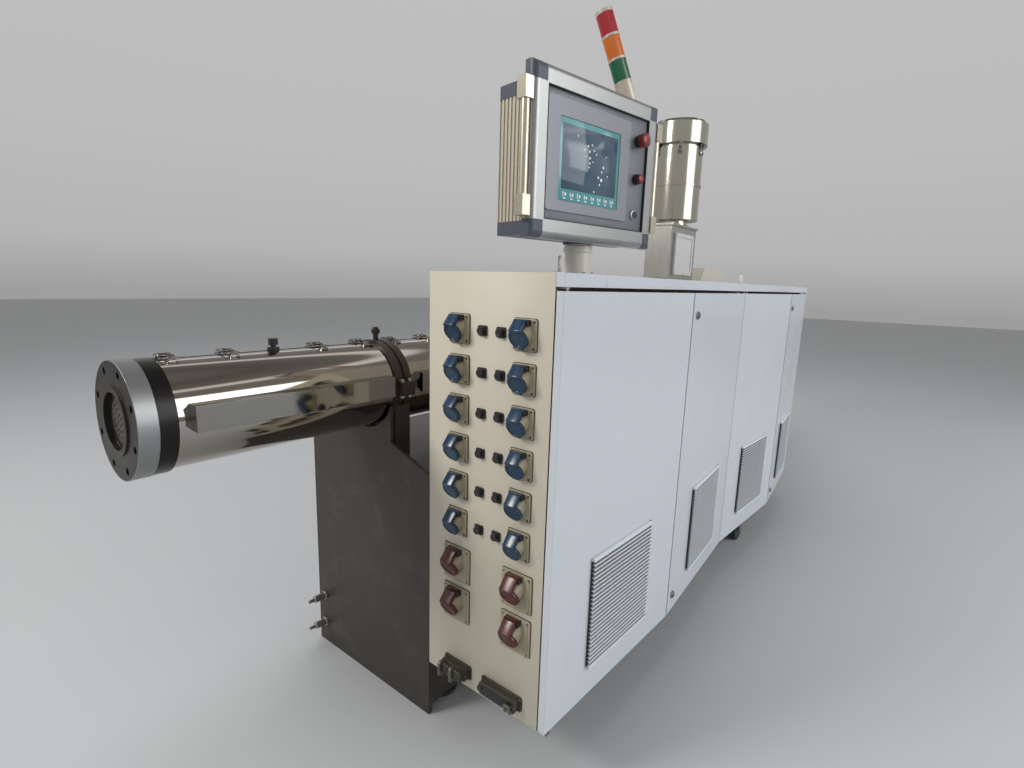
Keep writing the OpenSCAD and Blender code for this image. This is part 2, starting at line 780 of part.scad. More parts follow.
// Folded door tray, drawn shut from x0 to x1; the grille sits before a cut-out
module door_leaf(x0, x1, hinge_x) {
    mid = (x0 + x1) / 2;
    color("#f1efe9")
        difference() {
            translate([x0, door_y, cab_z]) cube([x1 - x0, door_t, door_h]);
            translate([x0 + sheet_t, door_y + sheet_t, cab_z + sheet_t])
                cube([x1 - x0 - 2 * sheet_t, door_t, door_h - 2 * sheet_t]);
            translate([mid - vent_w / 2 + 25, door_y - 1, vent_z + 25])
                cube([vent_w - 50, sheet_t + 2, vent_h - 50]);
            for (z = [cab_z - 1, door_top - pin_reach])
                translate([hinge_x, hinge_y, z]) cylinder(d = pin_d + 2 * pin_play, h = pin_reach + 1);
        }
}

// Grille of folded slats, whose open ends show as a sawtooth, on upright ribs over a bottom rail
module vent(x0, x1) {
    mid = (x0 + x1) / 2;
    rail = 6;
    slat_pitch = (vent_h - rail) / vent_slats;
    rise = slat_pitch * 0.64;
    color("#e9e3d3")
        translate([mid - vent_w / 2, door_y, vent_z]) {
            translate([0, -vent_proud, 0]) cube([vent_w, vent_proud, rail]);
            for (x = [10 : (vent_w - 28) / 4 : vent_w - 10])
                translate([x, -4, 0]) cube([8, 4, vent_h - 2]);
            for (i = [0 : vent_slats - 1])
                translate([0, 0, rail + i * slat_pitch]) rotate([90, 0, 90]) linear_extrude(vent_w)
                    polygon([[-vent_proud, 0.4], [-vent_proud, 2], [-2, rise], [-2, rise - 1.6]]);
        }
}

// Two quarter-turn locks, near the meeting edge
module door_locks(x) {
    color("#b4b3ae")
        for (z = [cab_z + lock_low, door_top - lock_high])
            translate([x, door_y, z]) rotate([90, 0, 0]) {
                cylinder(d = 26, h = 5);
                cylinder(d = 18, h = 8);
            }
}

// Turns a door about its hinge pin, which stands near its outer edge
module ajar(hinge_x, angle) {
    translate([hinge_x, hinge_y, 0]) rotate(angle) translate([-hinge_x, -hinge_y, 0]) children();
}

function meet(pair) = (pair[0] + pair[1]) / 2;
function door_x0(n) = [0, meet(pair_1), pair_x, meet(pair_2)][n - 1] + (n > 1 ? door_gap / 2 : 0);
function door_x1(n) = [meet(pair_1), pair_x, meet(pair_2), cab_l][n - 1] - (n < 4 ? door_gap / 2 : 0);
function door_hinge(n) = n % 2 == 1 ? door_x0(n) + hinge_inset : door_x1(n) - hinge_inset;
function door_angle(n) = (n % 2 == 1 ? -1 : 1) * (n < 3 ? front_ajar : rear_ajar);

module door(n) {
    ajar(door_hinge(n), door_angle(n)) door_leaf(door_x0(n), door_x1(n), door_hinge(n));
}

module door_vent(n) {
    ajar(door_hinge(n), door_angle(n)) vent(door_x0(n), door_x1(n));
}

module locks(n) {
    ajar(door_hinge(n), door_angle(n)) door_locks(door_x0(n) + 40);
}

// Places the operator panel's own frame: X to its right, -Y out of its face, Z up
module at_panel() {
    translate([neck_x, neck_y, panel_z]) rotate(panel_turn) translate([-14, -10, 0]) children();
}

// Frame profile with a rounded outer edge: X runs inwards from that edge, Y backwards from the face
module edge_profile(length) {
    linear_extrude(length) {
        translate([profile_r, 0]) square([profile_w - profile_r, frame_t]);
        translate([0, profile_r]) square([profile_w, frame_t - profile_r]);
        translate([profile_r, profile_r]) circle(r = profile_r);
    }
}

module on_both_sides() {
    for (turned = [0, 1]) mirror([turned, 0, 0]) children();
}

module upright(low, length) {
    translate([-panel_w / 2, -panel_depth / 2, low]) edge_profile(length);
}

module crossbar(from, length) {
    for (turned = [0, 1])
        translate([0, 0, turned * panel_h]) mirror([0, 0, turned])
            translate([from + length, -panel_depth / 2, 0]) rotate([0, -90, 0]) edge_profile(length);
}

// Housing between its two caps, with ribbed sides, up to the back of the face plate
module panel_box() {
    low = housing_low + cap_h;
    back = -panel_depth / 2 + frame_t;
    color("#ddd8c6")
        at_panel() {
            difference() {
                translate([-housing_w / 2, back, low])
                    cube([housing_w, panel_depth - frame_t, housing_top - cap_h - low]);
                on_both_sides()
                    for (y = [back + 14 : 14 : panel_depth / 2 - 8])
                        translate([housing_w / 2 - 3, y, low - 1]) cube([6, 6, panel_h]);
            }
            translate([-panel_w / 2 + profile_w, -panel_depth / 2 + 12, profile_w])
                cube([panel_w - 2 * profile_w, frame_t - 12, housing_top - cap_h - profile_w]);
        }
}

// Plastic corner blocks of the frame, caps of the housing and the flange on the neck
module panel_caps() {
    back = -panel_depth / 2 + frame_t;
    color("#3c424f")
        at_panel() {
            for (z = [0, panel_h - block_w])
                on_both_sides()
                    intersection() {
                        upright(z, block_w);
                        crossbar(-panel_w / 2, block_w);
                    }
            for (z = [housing_low, housing_top - cap_h])
                translate([-housing_w / 2, back, z]) cube([housing_w, panel_depth - frame_t, cap_h]);
            translate([14, 10, 0]) cylinder(d = neck_d + 14, h = housing_low + 2, $fn = 64);
        }
}

// Aluminium profiles between the corner blocks, and the face plate in them
module panel_frame() {
    color("#a9abac")
        at_panel() {
            on_both_sides() upright(block_w, panel_h - 2 * block_w);
            crossbar(-panel_w / 2 + block_w, panel_w - 2 * block_w);
            translate([-panel_w / 2 + profile_w - 2, -panel_depth / 2 + 8, profile_w - 2])
                cube([panel_w - 2 * profile_w + 4, 4, panel_h - 2 * profile_w + 4]);
        }
}

module panel_handles() {
    bracket = [26, 32, 50];
    color("#b9b3a4")
        at_panel() on_both_sides()
            translate([panel_w / 2, -panel_depth / 2, 0]) {
                for (z = [50, panel_h - 44 - bracket[2]]) {
                    translate([0, 2, z]) cube(bracket);
                    translate([0, 18, z - 3]) cube([8, 14, bracket[2] + 6]);
                }
                translate([13, 16, 50]) cylinder(d = 22, h = panel_h - 94);
            }
}

module touch_screen() {
    color("#59636c")
        at_panel()
            translate([-panel_w / 2 + profile_w + 4 + screen_w / 2, -panel_depth / 2 + 8, panel_h / 2 + 3])
                rotate([90, 0, 0]) difference() {
                    round_plate(screen_w, screen_h, 6, 8);
                    translate([0, -8, 4]) round_plate(screen_w - 89, screen_h - 71, 3, 3);
                }
}

// A button: its collar, its stem and its head, from the face plate outwards
module button(z, collar_d, collar_h, head_d, head_h) {
    translate([panel_w / 2 - profile_w - 42, -panel_depth / 2 + 8, z]) rotate([90, 0, 0]) {
        cylinder(d = collar_d, h = collar_h);
        cylinder(d = head_d - 8, h = collar_h + 4);
        translate([0, 0, collar_h + 3]) cylinder(d = head_d, h = head_h);
    }
}

// Key switch, push button and emergency stop
module panel_buttons() {
    color("#8e1f1b")
        at_panel() {
            button(94, 28, 3, 20, 3);
            button(195, 30, 12, 26, 8);
            button(300, 30, 8, 38, 22);
        }
}

// The stack light's own frame: its foot on the housing's top, leaning to the far side
module at_lamp() {
    at_panel() translate([panel_w / 2 - 61, -11, housing_top]) children();
}

module leaning() {
    translate([0, 0, 18]) rotate(a = lamp_lean, v = [-0.68, -0.73, 0]) children();
}

// Foot, ball joint and base tube, with the pale rings between the lenses and the pale lid
module lamp_base() {
    color("#ddd8c6")
        at_lamp() {
            cylinder(d = 48, h = 8);
            translate([0, 0, 16]) sphere(d = 26);
            leaning() {
                translate([0, 0, 8]) cylinder(d = lamp_d, h = lamp_foot - 8, $fn = 64);
                for (i = [0 : 2])
                    translate([0, 0, lamp_foot + i * lamp_h]) cylinder(d = lamp_d + 1, h = 7, $fn = 64);
                translate([0, 0, lamp_foot + 3 * lamp_h]) cylinder(d = lamp_d, h = 9, $fn = 64);
            }
        }
}

module lamp(i, tint) {
    color(tint)
        at_lamp() leaning() translate([0, 0, lamp_foot + i * lamp_h + 7])
            cylinder(d = lamp_d, h = lamp_h - 7, $fn = 64);
}

base_frame();
support_plate();
barrel_supports();
barrel();
barrel_flange();
die_flange();
breaker_plate();
heater_covers();
barrel_clamps();
cover_latches();
wiring_ducts();
sensor_fittings();
feed_housing();
hopper_box();
hopper_window();
loader_body();
loader_head();
loader_clips();
loader_control_box();
gearbox();
drive_motor();
drive_cover();
cabinet_back();
cabinet_rear();
cabinet_floor();
door_post();
door_hinges();
front_panel();
roof();
lifting_eyes();
outlet_bases();
blue_lids();
red_lids();
sensor_sockets();
bus_connectors();
caster_forks();
caster_wheels();
water_fittings();
panel_neck();
door(1);  // door_1
door(2);  // door_2
door(3);  // door_3
door(4);  // door_4
door_vent(1);  // vent_1
door_vent(2);  // vent_2
door_vent(3);  // vent_3
door_vent(4);  // vent_4
locks(2);  // door_2_locks
locks(4);  // door_4_locks
panel_box();
panel_caps();
panel_frame();
panel_handles();
touch_screen();
panel_buttons();
lamp_base();
lamp(0, "#1f7a4a");  // lamp_green
lamp(1, "#d9731c");  // lamp_amber
lamp(2, "#b3221d");  // lamp_red
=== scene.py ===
# %% [markdown]
# # A plastic extruder, dressed for the camera
# The construction of this machine comes in as a fixed frame: every node lies where the maker put
# it. This lesson adds what the construction leaves open, which is the finish of each surface and
# the small trim. We start by loading the frame.

# %% Load the frame
import math
import bmesh
import bpy
from mathutils import Matrix, Vector


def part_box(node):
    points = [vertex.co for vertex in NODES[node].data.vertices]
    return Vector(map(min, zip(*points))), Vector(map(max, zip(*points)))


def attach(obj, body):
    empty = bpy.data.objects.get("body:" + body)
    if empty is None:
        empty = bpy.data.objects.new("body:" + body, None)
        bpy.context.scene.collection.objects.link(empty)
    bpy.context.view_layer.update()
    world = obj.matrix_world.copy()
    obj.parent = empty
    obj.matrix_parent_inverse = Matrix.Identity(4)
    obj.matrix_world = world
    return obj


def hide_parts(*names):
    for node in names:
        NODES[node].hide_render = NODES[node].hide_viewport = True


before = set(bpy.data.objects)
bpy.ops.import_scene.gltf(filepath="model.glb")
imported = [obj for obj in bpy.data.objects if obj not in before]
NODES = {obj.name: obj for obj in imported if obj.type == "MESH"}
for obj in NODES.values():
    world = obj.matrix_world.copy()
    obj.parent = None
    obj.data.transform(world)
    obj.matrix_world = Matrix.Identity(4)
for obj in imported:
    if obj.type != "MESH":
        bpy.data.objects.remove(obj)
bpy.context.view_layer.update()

# %% [markdown]
# ## The camera
# A camera is easiest to match when its three axes are written down as they were measured: where the
# picture's right, its down and its view direction point in the machine's frame. Blender's camera
# looks along its own minus Z with Y up, so the columns of its matrix are right, minus down and
# minus forward.

# %% Camera
EYE = Vector((-1.001, -1.3565, 1.317))
VIEW_RIGHT = Vector((0.6193, -0.7845, 0.0296)).normalized()
VIEW_FORWARD = Vector((0.7749, 0.6047, -0.1843)).normalized()
FOCAL_MM = 18.91
SENSOR_MM = 36.0


def camera_at(eye, right, forward):
    down = forward.cross(right).normalized()
    right = down.cross(forward).normalized()
    lens = bpy.data.cameras.new("camera")
    lens.sensor_width = SENSOR_MM
    lens.lens = FOCAL_MM
    lens.clip_end = 200
    camera = bpy.data.objects.new("camera", lens)
    bpy.context.scene.collection.objects.link(camera)
    columns = Matrix((right, -down, -forward)).transposed()
    camera.matrix_world = Matrix.Translation(eye) @ columns.to_4x4()
    bpy.context.scene.camera = camera
    return camera


camera_at(EYE, VIEW_RIGHT, VIEW_FORWARD)
bpy.context.scene.view_settings.view_transform = "Standard"
print("camera looks along", tuple(round(v, 3) for v in VIEW_FORWARD))

# %% [markdown]
# ## The stage
# Polished steel shows whatever stands round it, so the world is not one flat grey. Near the horizon
# it is a plain pale backdrop, which is what the camera sees. Higher up, out of the picture, come a
# thin bright line, a dim field and one more strip of light, and these give the steel its bands.
# Every ray meets the same ramp, so the steel mirrors the same backdrop that the camera sees. The
# floor is one plain pale sheet.

# %% World and floor
FLOOR_TINT = (0.44, 0.455, 0.47, 1)
FLOOR_SIZE = 60.0
FLOOR_DROP = 0.0005
# Height of the view direction, from 0 straight down to 1 straight up, and the tone there.
STUDIO_BANDS = (
    (0.00, 0.30), (0.485, 0.34), (0.525, 0.46), (0.60, 0.50), (0.716, 0.52),
    (0.724, 1.60), (0.736, 1.60),
    (0.746, 0.34), (0.84, 0.26), (0.868, 0.30),
    (0.878, 1.10), (0.892, 1.10),
    (0.902, 0.24), (0.95, 0.16), (1.00, 0.30),
)
DIM, WARMTH = 0.3, 1.06  # tones under DIM are a little warmer


def wire(tree, *pairs):
    for source, target in pairs:
        tree.links.new(source, target)


def add_node(tree, kind, **values):
    """A shader node with its inputs set by name, where an underscore stands for a space."""
    made = tree.nodes.new("ShaderNode" + kind)
    for socket, value in values.items():
        made.inputs[socket.replace("_", " ")].default_value = value
    return made


def add_math(tree, operation, *values):
    """A Math node with its inputs set from the second one on. The first one gets a wire."""
    made = add_node(tree, "Math")
    made.operation = operation
    for i, value in enumerate(values, 1):
        made.inputs[i].default_value = value
    return made


def studio_world():
    world = bpy.data.worlds.new("studio")
    bpy.context.scene.world = world
    world.use_nodes = True
    tree = world.node_tree
    tree.nodes.clear()
    place = add_node(tree, "TexCoord")
    split = add_node(tree, "SeparateXYZ")
    ramp = add_node(tree, "ValToRGB")
    stops = ramp.color_ramp.elements
    for i, (spot, tone) in enumerate(STUDIO_BANDS):
        stop = stops[i] if i < 2 else stops.new(spot)
        stop.position = spot
        warm = WARMTH if tone < DIM else 1.0
        stop.color = (tone * warm, tone, tone / warm, 1)
    lift = add_math(tree, "MULTIPLY_ADD", 0.5, 0.5)
    light = add_node(tree, "Background")
    out = add_node(tree, "OutputWorld")
    wire(tree, (place.outputs["Generated"], split.inputs[0]), (split.outputs["Z"], lift.inputs[0]),
         (lift.outputs[0], ramp.inputs[0]), (ramp.outputs[0], light.inputs["Color"]),
         (light.outputs[0], out.inputs[0]))


def floor_sheet():
    bm = bmesh.new()
    bmesh.ops.create_grid(bm, x_segments=2, y_segments=2, size=FLOOR_SIZE / 2)
    mesh = bpy.data.meshes.new("floor")
    bm.to_mesh(mesh)
    bm.free()
    floor = bpy.data.objects.new("floor", mesh)
    floor.location.z = -FLOOR_DROP
    bpy.context.scene.collection.objects.link(floor)
    paint = bpy.data.materials.new("floor_paint")
    paint.use_nodes = True
    shader = paint.node_tree.nodes["Principled BSDF"]
    shader.inputs["Base Color"].default_value = FLOOR_TINT
    shader.inputs["Roughness"].default_value = 0.6
    shader.inputs["Specular IOR Level"].default_value = 0.25
    mesh.materials.append(paint)
    return floor


studio_world()
floor_sheet()
print("world of", len(STUDIO_BANDS), "bands, floor", FLOOR_SIZE, "m wide")

# %% [markdown]
# Three area lamps light the machine: a large cool one along the door side, a small warm one towards
# the die, and a large soft one overhead. The overhead lamp is kept out of mirror reflections,
# because a round cover always finds it and would carry its square outline as a white patch.

# %% Lamps
LAMPS = (  # title, place, aim, size, power, tint
    ("door_side", (2.2, -7.0, 3.6), (1.2, -0.6, 0.8), 5.0, 250, (0.97, 0.985, 1.0)),
    ("die_side", (-4.4, 2.4, 4.6), (0.1, -0.5, 0.8), 1.6, 220, (1.0, 0.97, 0.92)),
    ("overhead", (1.4, 1.0, 7.0), (1.4, -0.2, 0.5), 5.0, 210, (0.97, 0.985, 1.0)),
)
for title, where, aim, size, power, tint in LAMPS:
    area = bpy.data.lights.new(title, "AREA")
    area.size = size
    area.energy = power
    area.color = tint
    lamp = bpy.data.objects.new(title, area)
    lamp.location = where
    lamp.rotation_euler = (Vector(aim) - Vector(where)).to_track_quat("-Z", "Y").to_euler()
    lamp.visible_glossy = title != "overhead"
    bpy.context.scene.collection.objects.link(lamp)
print("stage: floor, world and", len(LAMPS), "lamps")

# %% [markdown]
# ## Finishes
# Every finish here is one Principled shader with three layers of life: a slow drift of the colour,
# a change in roughness and a fine bump. The Bevel node rounds each hard edge by a millimetre or two
# in the shading, which catches light as folded sheet does, with no change to the mesh.

# %% Finish helper
EDGE_R = 0.0018
GRAIN_DEPTH = 0.0004
MIX_A, MIX_B, MIX_OUT = 6, 7, 2  # the colour sockets of a Mix node
FINISHES = {}


def add_mix(tree, second):
    """A Mix node for colours, with its second colour set."""
    made = add_node(tree, "Mix")
    made.data_type = "RGBA"
    made.inputs[MIX_B].default_value = (*second, 1)
    return made


def finish(title, tint, rough, metal=0.0, drift=0.06, drift_size=3.0, rough_drift=0.06, grain=0.02,
           grain_size=900.0, stretch=(1, 1, 1), coat=0.0, edge=EDGE_R, dirt=0.0,
           dirt_tint=(0.16, 0.13, 0.10)):
    made = bpy.data.materials.new(title)
    made.use_nodes = True
    tree = made.node_tree
    shader = tree.nodes["Principled BSDF"]
    shader.inputs["Metallic"].default_value = metal
    shader.inputs["Coat Weight"].default_value = coat
    place = add_node(tree, "TexCoord")
    turn = add_node(tree, "Mapping", Scale=stretch)
    slow = add_node(tree, "TexNoise", Scale=drift_size, Detail=5.0)
    tone = add_mix(tree, [min(1.0, c * (1 + drift)) for c in tint])
    tone.inputs[MIX_A].default_value = (*[c * (1 - drift) for c in tint], 1)
    wire(tree, (place.outputs["Object"], turn.inputs[0]), (turn.outputs[0], slow.inputs["Vector"]),
         (slow.outputs["Fac"], tone.inputs[0]))
    colour = tone.outputs[MIX_OUT]
    if dirt > 0:
        patch = add_node(tree, "TexNoise", Scale=9.0, Detail=9.0, Roughness=0.7)
        cut = add_node(tree, "MapRange", From_Min=0.52, From_Max=0.74, To_Max=dirt)
        soil = add_mix(tree, dirt_tint)
        wire(tree, (place.outputs["Object"], patch.inputs["Vector"]),
             (patch.outputs["Fac"], cut.inputs[0]), (cut.outputs[0], soil.inputs[0]),
             (colour, soil.inputs[MIX_A]))
        colour = soil.outputs[MIX_OUT]
    shine = add_node(tree, "MapRange", To_Min=max(0.02, rough - rough_drift),
                     To_Max=min(1.0, rough + rough_drift))
    fine = add_node(tree, "TexNoise", Scale=grain_size, Detail=2.0)
    bump = add_node(tree, "Bump", Strength=min(1.0, grain * 8), Distance=GRAIN_DEPTH)
    soft = add_node(tree, "Bevel", Radius=edge)
    soft.samples = 4
    wire(tree, (colour, shader.inputs["Base Color"]), (slow.outputs["Fac"], shine.inputs[0]),
         (shine.outputs[0], shader.inputs["Roughness"]), (turn.outputs[0], fine.inputs["Vector"]),
         (fine.outputs["Fac"], bump.inputs["Height"]), (soft.outputs[0], bump.inputs["Normal"]),
         (bump.outputs[0], shader.inputs["Normal"]))
    FINISHES[title] = made
    return made


print("finishes round their edges by", EDGE_R, "m in the shading")

# %% [markdown]
# Each line below is one finish: its colour, its roughness and how metallic it is, then how much and
# how finely the colour drifts, how the roughness changes, and the grain. Painted sheet has a fine
# orange peel, cast parts a coarser grain and some dirt, and brushed steel a grain that is stretched
# along one direction.

# %% Finishes
BRUSHED_Z = (26, 26, 1)
finish("brown_paint", (0.030, 0.023, 0.018), 0.42, drift=0.14, grain=0.05, dirt=0.25)
finish("machined", (0.42, 0.42, 0.41), 0.34, 1.0, 0.12, 6, 0.10, 0.03, 300, dirt=0.3)
finish("black_steel", (0.012, 0.011, 0.010), 0.33, 0.6, 0.2, 8, 0.10, 0.04, 500)
finish("plate_dark", (0.11, 0.10, 0.085), 0.42, 0.6, 0.2, 30, 0.10, 0.05, 300, dirt=0.4)
finish("polished", (0.40, 0.365, 0.325), 0.07, 1.0, 0.06, 4, 0.04, 0.006, 60, edge=0.001)
finish("duct_sheet", (0.26, 0.25, 0.23), 0.06, 1.0, 0.03, 5, 0.05, 0.008, 80)
finish("clamp_iron", (0.040, 0.027, 0.020), 0.45, 0.3, 0.25, 12, 0.12, 0.08, 260, dirt=0.3)
finish("toggle_steel", (0.30, 0.29, 0.26), 0.20, 1.0, 0.08, 30, 0.08, 0.02, 400)
finish("black_plastic", (0.016, 0.015, 0.017), 0.42, drift=0.1, grain=0.04)
finish("feed_iron", (0.16, 0.155, 0.15), 0.45, 0.2, 0.12, 8, 0.10, 0.10, 120, dirt=0.3)
finish("brushed_box", (0.47, 0.46, 0.42), 0.24, 1.0, 0.07, 7, 0.08, 0.03, 240, BRUSHED_Z)
finish("pale_box", (0.46, 0.46, 0.47), 0.38, drift=0.04, grain=0.03)
finish("window_white", (0.60, 0.60, 0.60), 0.35, drift=0.03, grain=0.02)
finish("loader_sheet", (0.45, 0.425, 0.36), 0.15, 1.0, 0.05, 6, 0.05, 0.02, 200, BRUSHED_Z)
finish("machine_grey", (0.105, 0.125, 0.14), 0.42, drift=0.10, grain=0.08, grain_size=180, dirt=0.2)
finish("cream_coat", (0.60, 0.565, 0.49), 0.36, drift=0.03, grain=0.05, grain_size=420)
finish("panel_coat", (0.585, 0.54, 0.445), 0.52, drift=0.04, grain=0.05, grain_size=420, dirt=0.06)
finish("door_coat", (0.60, 0.645, 0.69), 0.22, drift=0.03, grain=0.035, grain_size=420, dirt=0.04,
       coat=0.2)
finish("vent_coat", (0.66, 0.70, 0.735), 0.36, drift=0.03, grain=0.03, edge=0.0004)
finish("zinc", (0.40, 0.40, 0.38), 0.36, 1.0, 0.18, 25, 0.10, 0.04, 300, dirt=0.2)
finish("outlet_beige", (0.36, 0.32, 0.22), 0.34, drift=0.05, drift_size=20, grain=0.03)
finish("outlet_blue", (0.008, 0.036, 0.080), 0.22, drift=0.10, drift_size=20, grain=0.02)
finish("outlet_red", (0.080, 0.014, 0.012), 0.26, drift=0.12, drift_size=20, grain=0.02)
finish("hood_grey", (0.062, 0.058, 0.045), 0.42, 0.55, 0.15, 25, 0.10, 0.06, 300)
finish("wheel_tread", (0.024, 0.026, 0.028), 0.55, drift=0.15, grain=0.05, dirt=0.4)
finish("box_beige", (0.53, 0.48, 0.39), 0.34, 0.35, 0.03, grain=0.03)
finish("cap_blue", (0.055, 0.065, 0.092), 0.42, drift=0.08, drift_size=14, grain=0.05)
finish("satin_profile", (0.34, 0.345, 0.34), 0.36, 0.9, 0.06, 12, 0.06, 0.02, 300)
finish("champagne", (0.54, 0.49, 0.39), 0.28, 0.9, 0.05, 14, 0.06, 0.02, 300)
finish("bezel_grey", (0.235, 0.245, 0.27), 0.36, 0.2, 0.04, 10, grain=0.02)
finish("push_red", (0.25, 0.014, 0.012), 0.25, drift=0.08, drift_size=30, grain=0.01)
finish("lens_green", (0.005, 0.105, 0.042), 0.16, drift=0.08, drift_size=14, grain=0.01, coat=0.4)
finish("lens_amber", (0.58, 0.13, 0.012), 0.16, drift=0.08, drift_size=14, grain=0.01, coat=0.4)
finish("lens_red", (0.36, 0.010, 0.022), 0.16, drift=0.08, drift_size=14, grain=0.01, coat=0.4)
finish("glow_teal", (0.10, 0.34, 0.36), 0.12, drift=0.05, drift_size=8, grain=0.0, coat=0.5)
finish("glass_blue", (0.060, 0.105, 0.155), 0.07, drift=0.25, drift_size=5, grain=0.0, coat=0.6)
finish("icon_white", (0.80, 0.84, 0.86), 0.30, drift=0.02, grain=0.0)
finish("lever_grey", (0.16, 0.155, 0.125), 0.40, 0.7, 0.15, 25, 0.10, 0.05, 300, dirt=0.4)
# the filter mat behind each grille: a real mat whose near-black also paints the shade between the
# slats and on the grille's side
finish("filter_mat_and_shade", (0.035, 0.036, 0.032), 0.85, drift=0.25, drift_size=30, grain=0.10,
       grain_size=500)
finish("rubber", (0.020, 0.020, 0.021), 0.60, drift=0.15, drift_size=20, grain=0.06)


AXIS_Z = 1.0
FACE_R = 0.1305


def two_tone(title, bright, dark, edge_r):
    """Machined rim, dark face: inside a radius round the screw axis the steel is left dark."""
    made = finish(title, bright, 0.42, 0.9, 0.12, 9, 0.12, 0.05, 320, dirt=0.35)
    tree = made.node_tree
    shader = tree.nodes["Principled BSDF"]
    place = add_node(tree, "TexCoord")
    split = add_node(tree, "SeparateXYZ")
    flat = add_node(tree, "CombineXYZ")
    lower = add_math(tree, "SUBTRACT", AXIS_Z)
    reach = add_node(tree, "VectorMath")
    reach.operation = "LENGTH"
    inside = add_math(tree, "LESS_THAN", edge_r)
    pick = add_mix(tree, dark)
    old = shader.inputs["Base Color"].links[0].from_socket
    wire(tree, (place.outputs["Object"], split.inputs[0]), (split.outputs["Y"], flat.inputs["Y"]),
         (split.outputs["Z"], lower.inputs[0]), (lower.outputs[0], flat.inputs["Z"]),
         (flat.outputs[0], reach.inputs[0]), (reach.outputs["Value"], inside.inputs[0]),
         (inside.outputs[0], pick.inputs[0]), (old, pick.inputs[MIX_A]),
         (pick.outputs[MIX_OUT], shader.inputs["Base Color"]))


two_tone("flange_face", (0.30, 0.31, 0.31), (0.060, 0.053, 0.045), FACE_R)
print("finishes:", len(FINISHES))

# %% [markdown]
# A node of the frame already has its right shape, so it only needs a finish. The table says which
# nodes wear which one, and the last line shows that no node is left bare.

# %% Dress the frame
WORN_BY = {
    "brown_paint": ("base_frame", "support_plate", "barrel_supports"),
    "machined": ("barrel",),
    "plate_dark": ("breaker_plate",),
    "flange_face": ("die_flange",),
    "black_steel": ("barrel_flange",),
    "polished": ("heater_covers",),
    "duct_sheet": ("wiring_ducts",),
    "clamp_iron": ("barrel_clamps",),
    "toggle_steel": ("cover_latches", "loader_clips", "door_2_locks", "door_4_locks"),
    "black_plastic": ("sensor_fittings", "sensor_sockets", "panel_buttons"),
    "feed_iron": ("feed_housing",),
    "brushed_box": ("hopper_box",),
    "pale_box": ("loader_control_box",),
    "window_white": ("hopper_window",),
    "loader_sheet": ("loader_body", "loader_head"),
    "cap_blue": ("panel_caps",),
    "machine_grey": ("gearbox", "drive_motor"),
    "cream_coat": ("drive_cover", "cabinet_back", "cabinet_rear", "cabinet_floor", "door_post",
                   "lifting_eyes", "panel_neck"),
    "panel_coat": ("front_panel",),
    "door_coat": ("roof", "door_1", "door_2", "door_3", "door_4"),
    "vent_coat": ("vent_1", "vent_2", "vent_3", "vent_4"),
    "zinc": ("door_hinges", "caster_forks", "water_fittings"),
    "outlet_beige": ("outlet_bases",),
    "outlet_blue": ("blue_lids",),
    "outlet_red": ("red_lids",),
    "hood_grey": ("bus_connectors",),
    "wheel_tread": ("caster_wheels",),
    "box_beige": ("panel_box", "lamp_base"),
    "satin_profile": ("panel_frame",),
    "champagne": ("panel_handles",),
    "bezel_grey": ("touch_screen",),
    "lens_green": ("lamp_green",),
    "lens_amber": ("lamp_amber",),
    "lens_red": ("lamp_red",),
}


def wear(node, title):
    mesh = NODES[node].data
    if not mesh.materials:
        mesh.materials.append(None)
    for i in range(len(mesh.materials)):
        mesh.materials[i] = FINISHES[title]


for title, nodes in WORN_BY.items():
    for node in nodes:
        wear(node, title)
bare = sorted(set(NODES) - {n for nodes in WORN_BY.values() for n in nodes})
print("bare nodes:", bare)

# %% [markdown]
# ## Small tools for small parts
# All the trim below is built from four shapes. `add_block` is a box with broken edges, `add_plate`
# a plate with round corners, `add_prism` a side outline that is extruded, and `add_turned` spins an
# outline of (radius, height) points round its own axis, as a lathe does. Each is put in place by a
# matrix whose Z points out of the surface that carries the part. Edges are broken by one small
# bevel, because no real edge is perfectly sharp.

# %% Mesh helpers
MM = 0.001


def placed(at, right=(1, 0, 0), out=(0, 0, 1)):
    """A matrix in metres: local X along right, local Z along out. Upright if neither is given."""
    right, out = Vector(right).normalized(), Vector(out).normalized()
    turn = Matrix((right, out.cross(right), out)).transposed().to_4x4()
    return Matrix.Translation(Vector(at)) @ turn


def bevelled(bm, edges, offset, segments=2):
    return bmesh.ops.bevel(bm, geom=edges, offset=offset * MM, segments=segments, profile=0.5,
                           affect="EDGES", material=-1)


def add_block(bm, place, low, size, broken=0.0):
    """A box in millimetres of the local frame, from its lowest corner."""
    middle = [(low[i] + size[i] / 2) * MM for i in range(3)]
    shape = Matrix.Translation(middle) @ Matrix.Diagonal((*[s * MM for s in size], 1))
    made = bmesh.ops.create_cube(bm, size=1.0, matrix=place @ shape)
    if broken > 0:
        bevelled(bm, list({edge for vert in made["verts"] for edge in vert.link_edges}), broken)


def add_plate(bm, place, size, thick, round_r, low=0.0, broken=0.8):
    """A plate with round corners and a broken front rim, standing on the local height low."""
    w, h = size
    middle = Matrix.Translation((0, 0, (low + thick / 2) * MM))
    shape = middle @ Matrix.Diagonal((w * MM, h * MM, thick * MM, 1))
    made = bmesh.ops.create_cube(bm, size=1.0, matrix=place @ shape)
    out = place.to_3x3() @ Vector((0, 0, 1))
    sides = {edge for vert in made["verts"] for edge in vert.link_edges}
    upright = [e for e in sides if abs((e.verts[1].co - e.verts[0].co).normalized().dot(out)) > 0.9]
    rounded = bevelled(bm, upright, round_r, 5)
    back = place.inverted()
    rim_height = (low + thick) * MM - 1e-6
    near = {edge for vert in rounded["verts"] for edge in vert.link_edges}
    bevelled(bm, [e for e in near if all((back @ v.co).z > rim_height for v in e.verts)], broken)


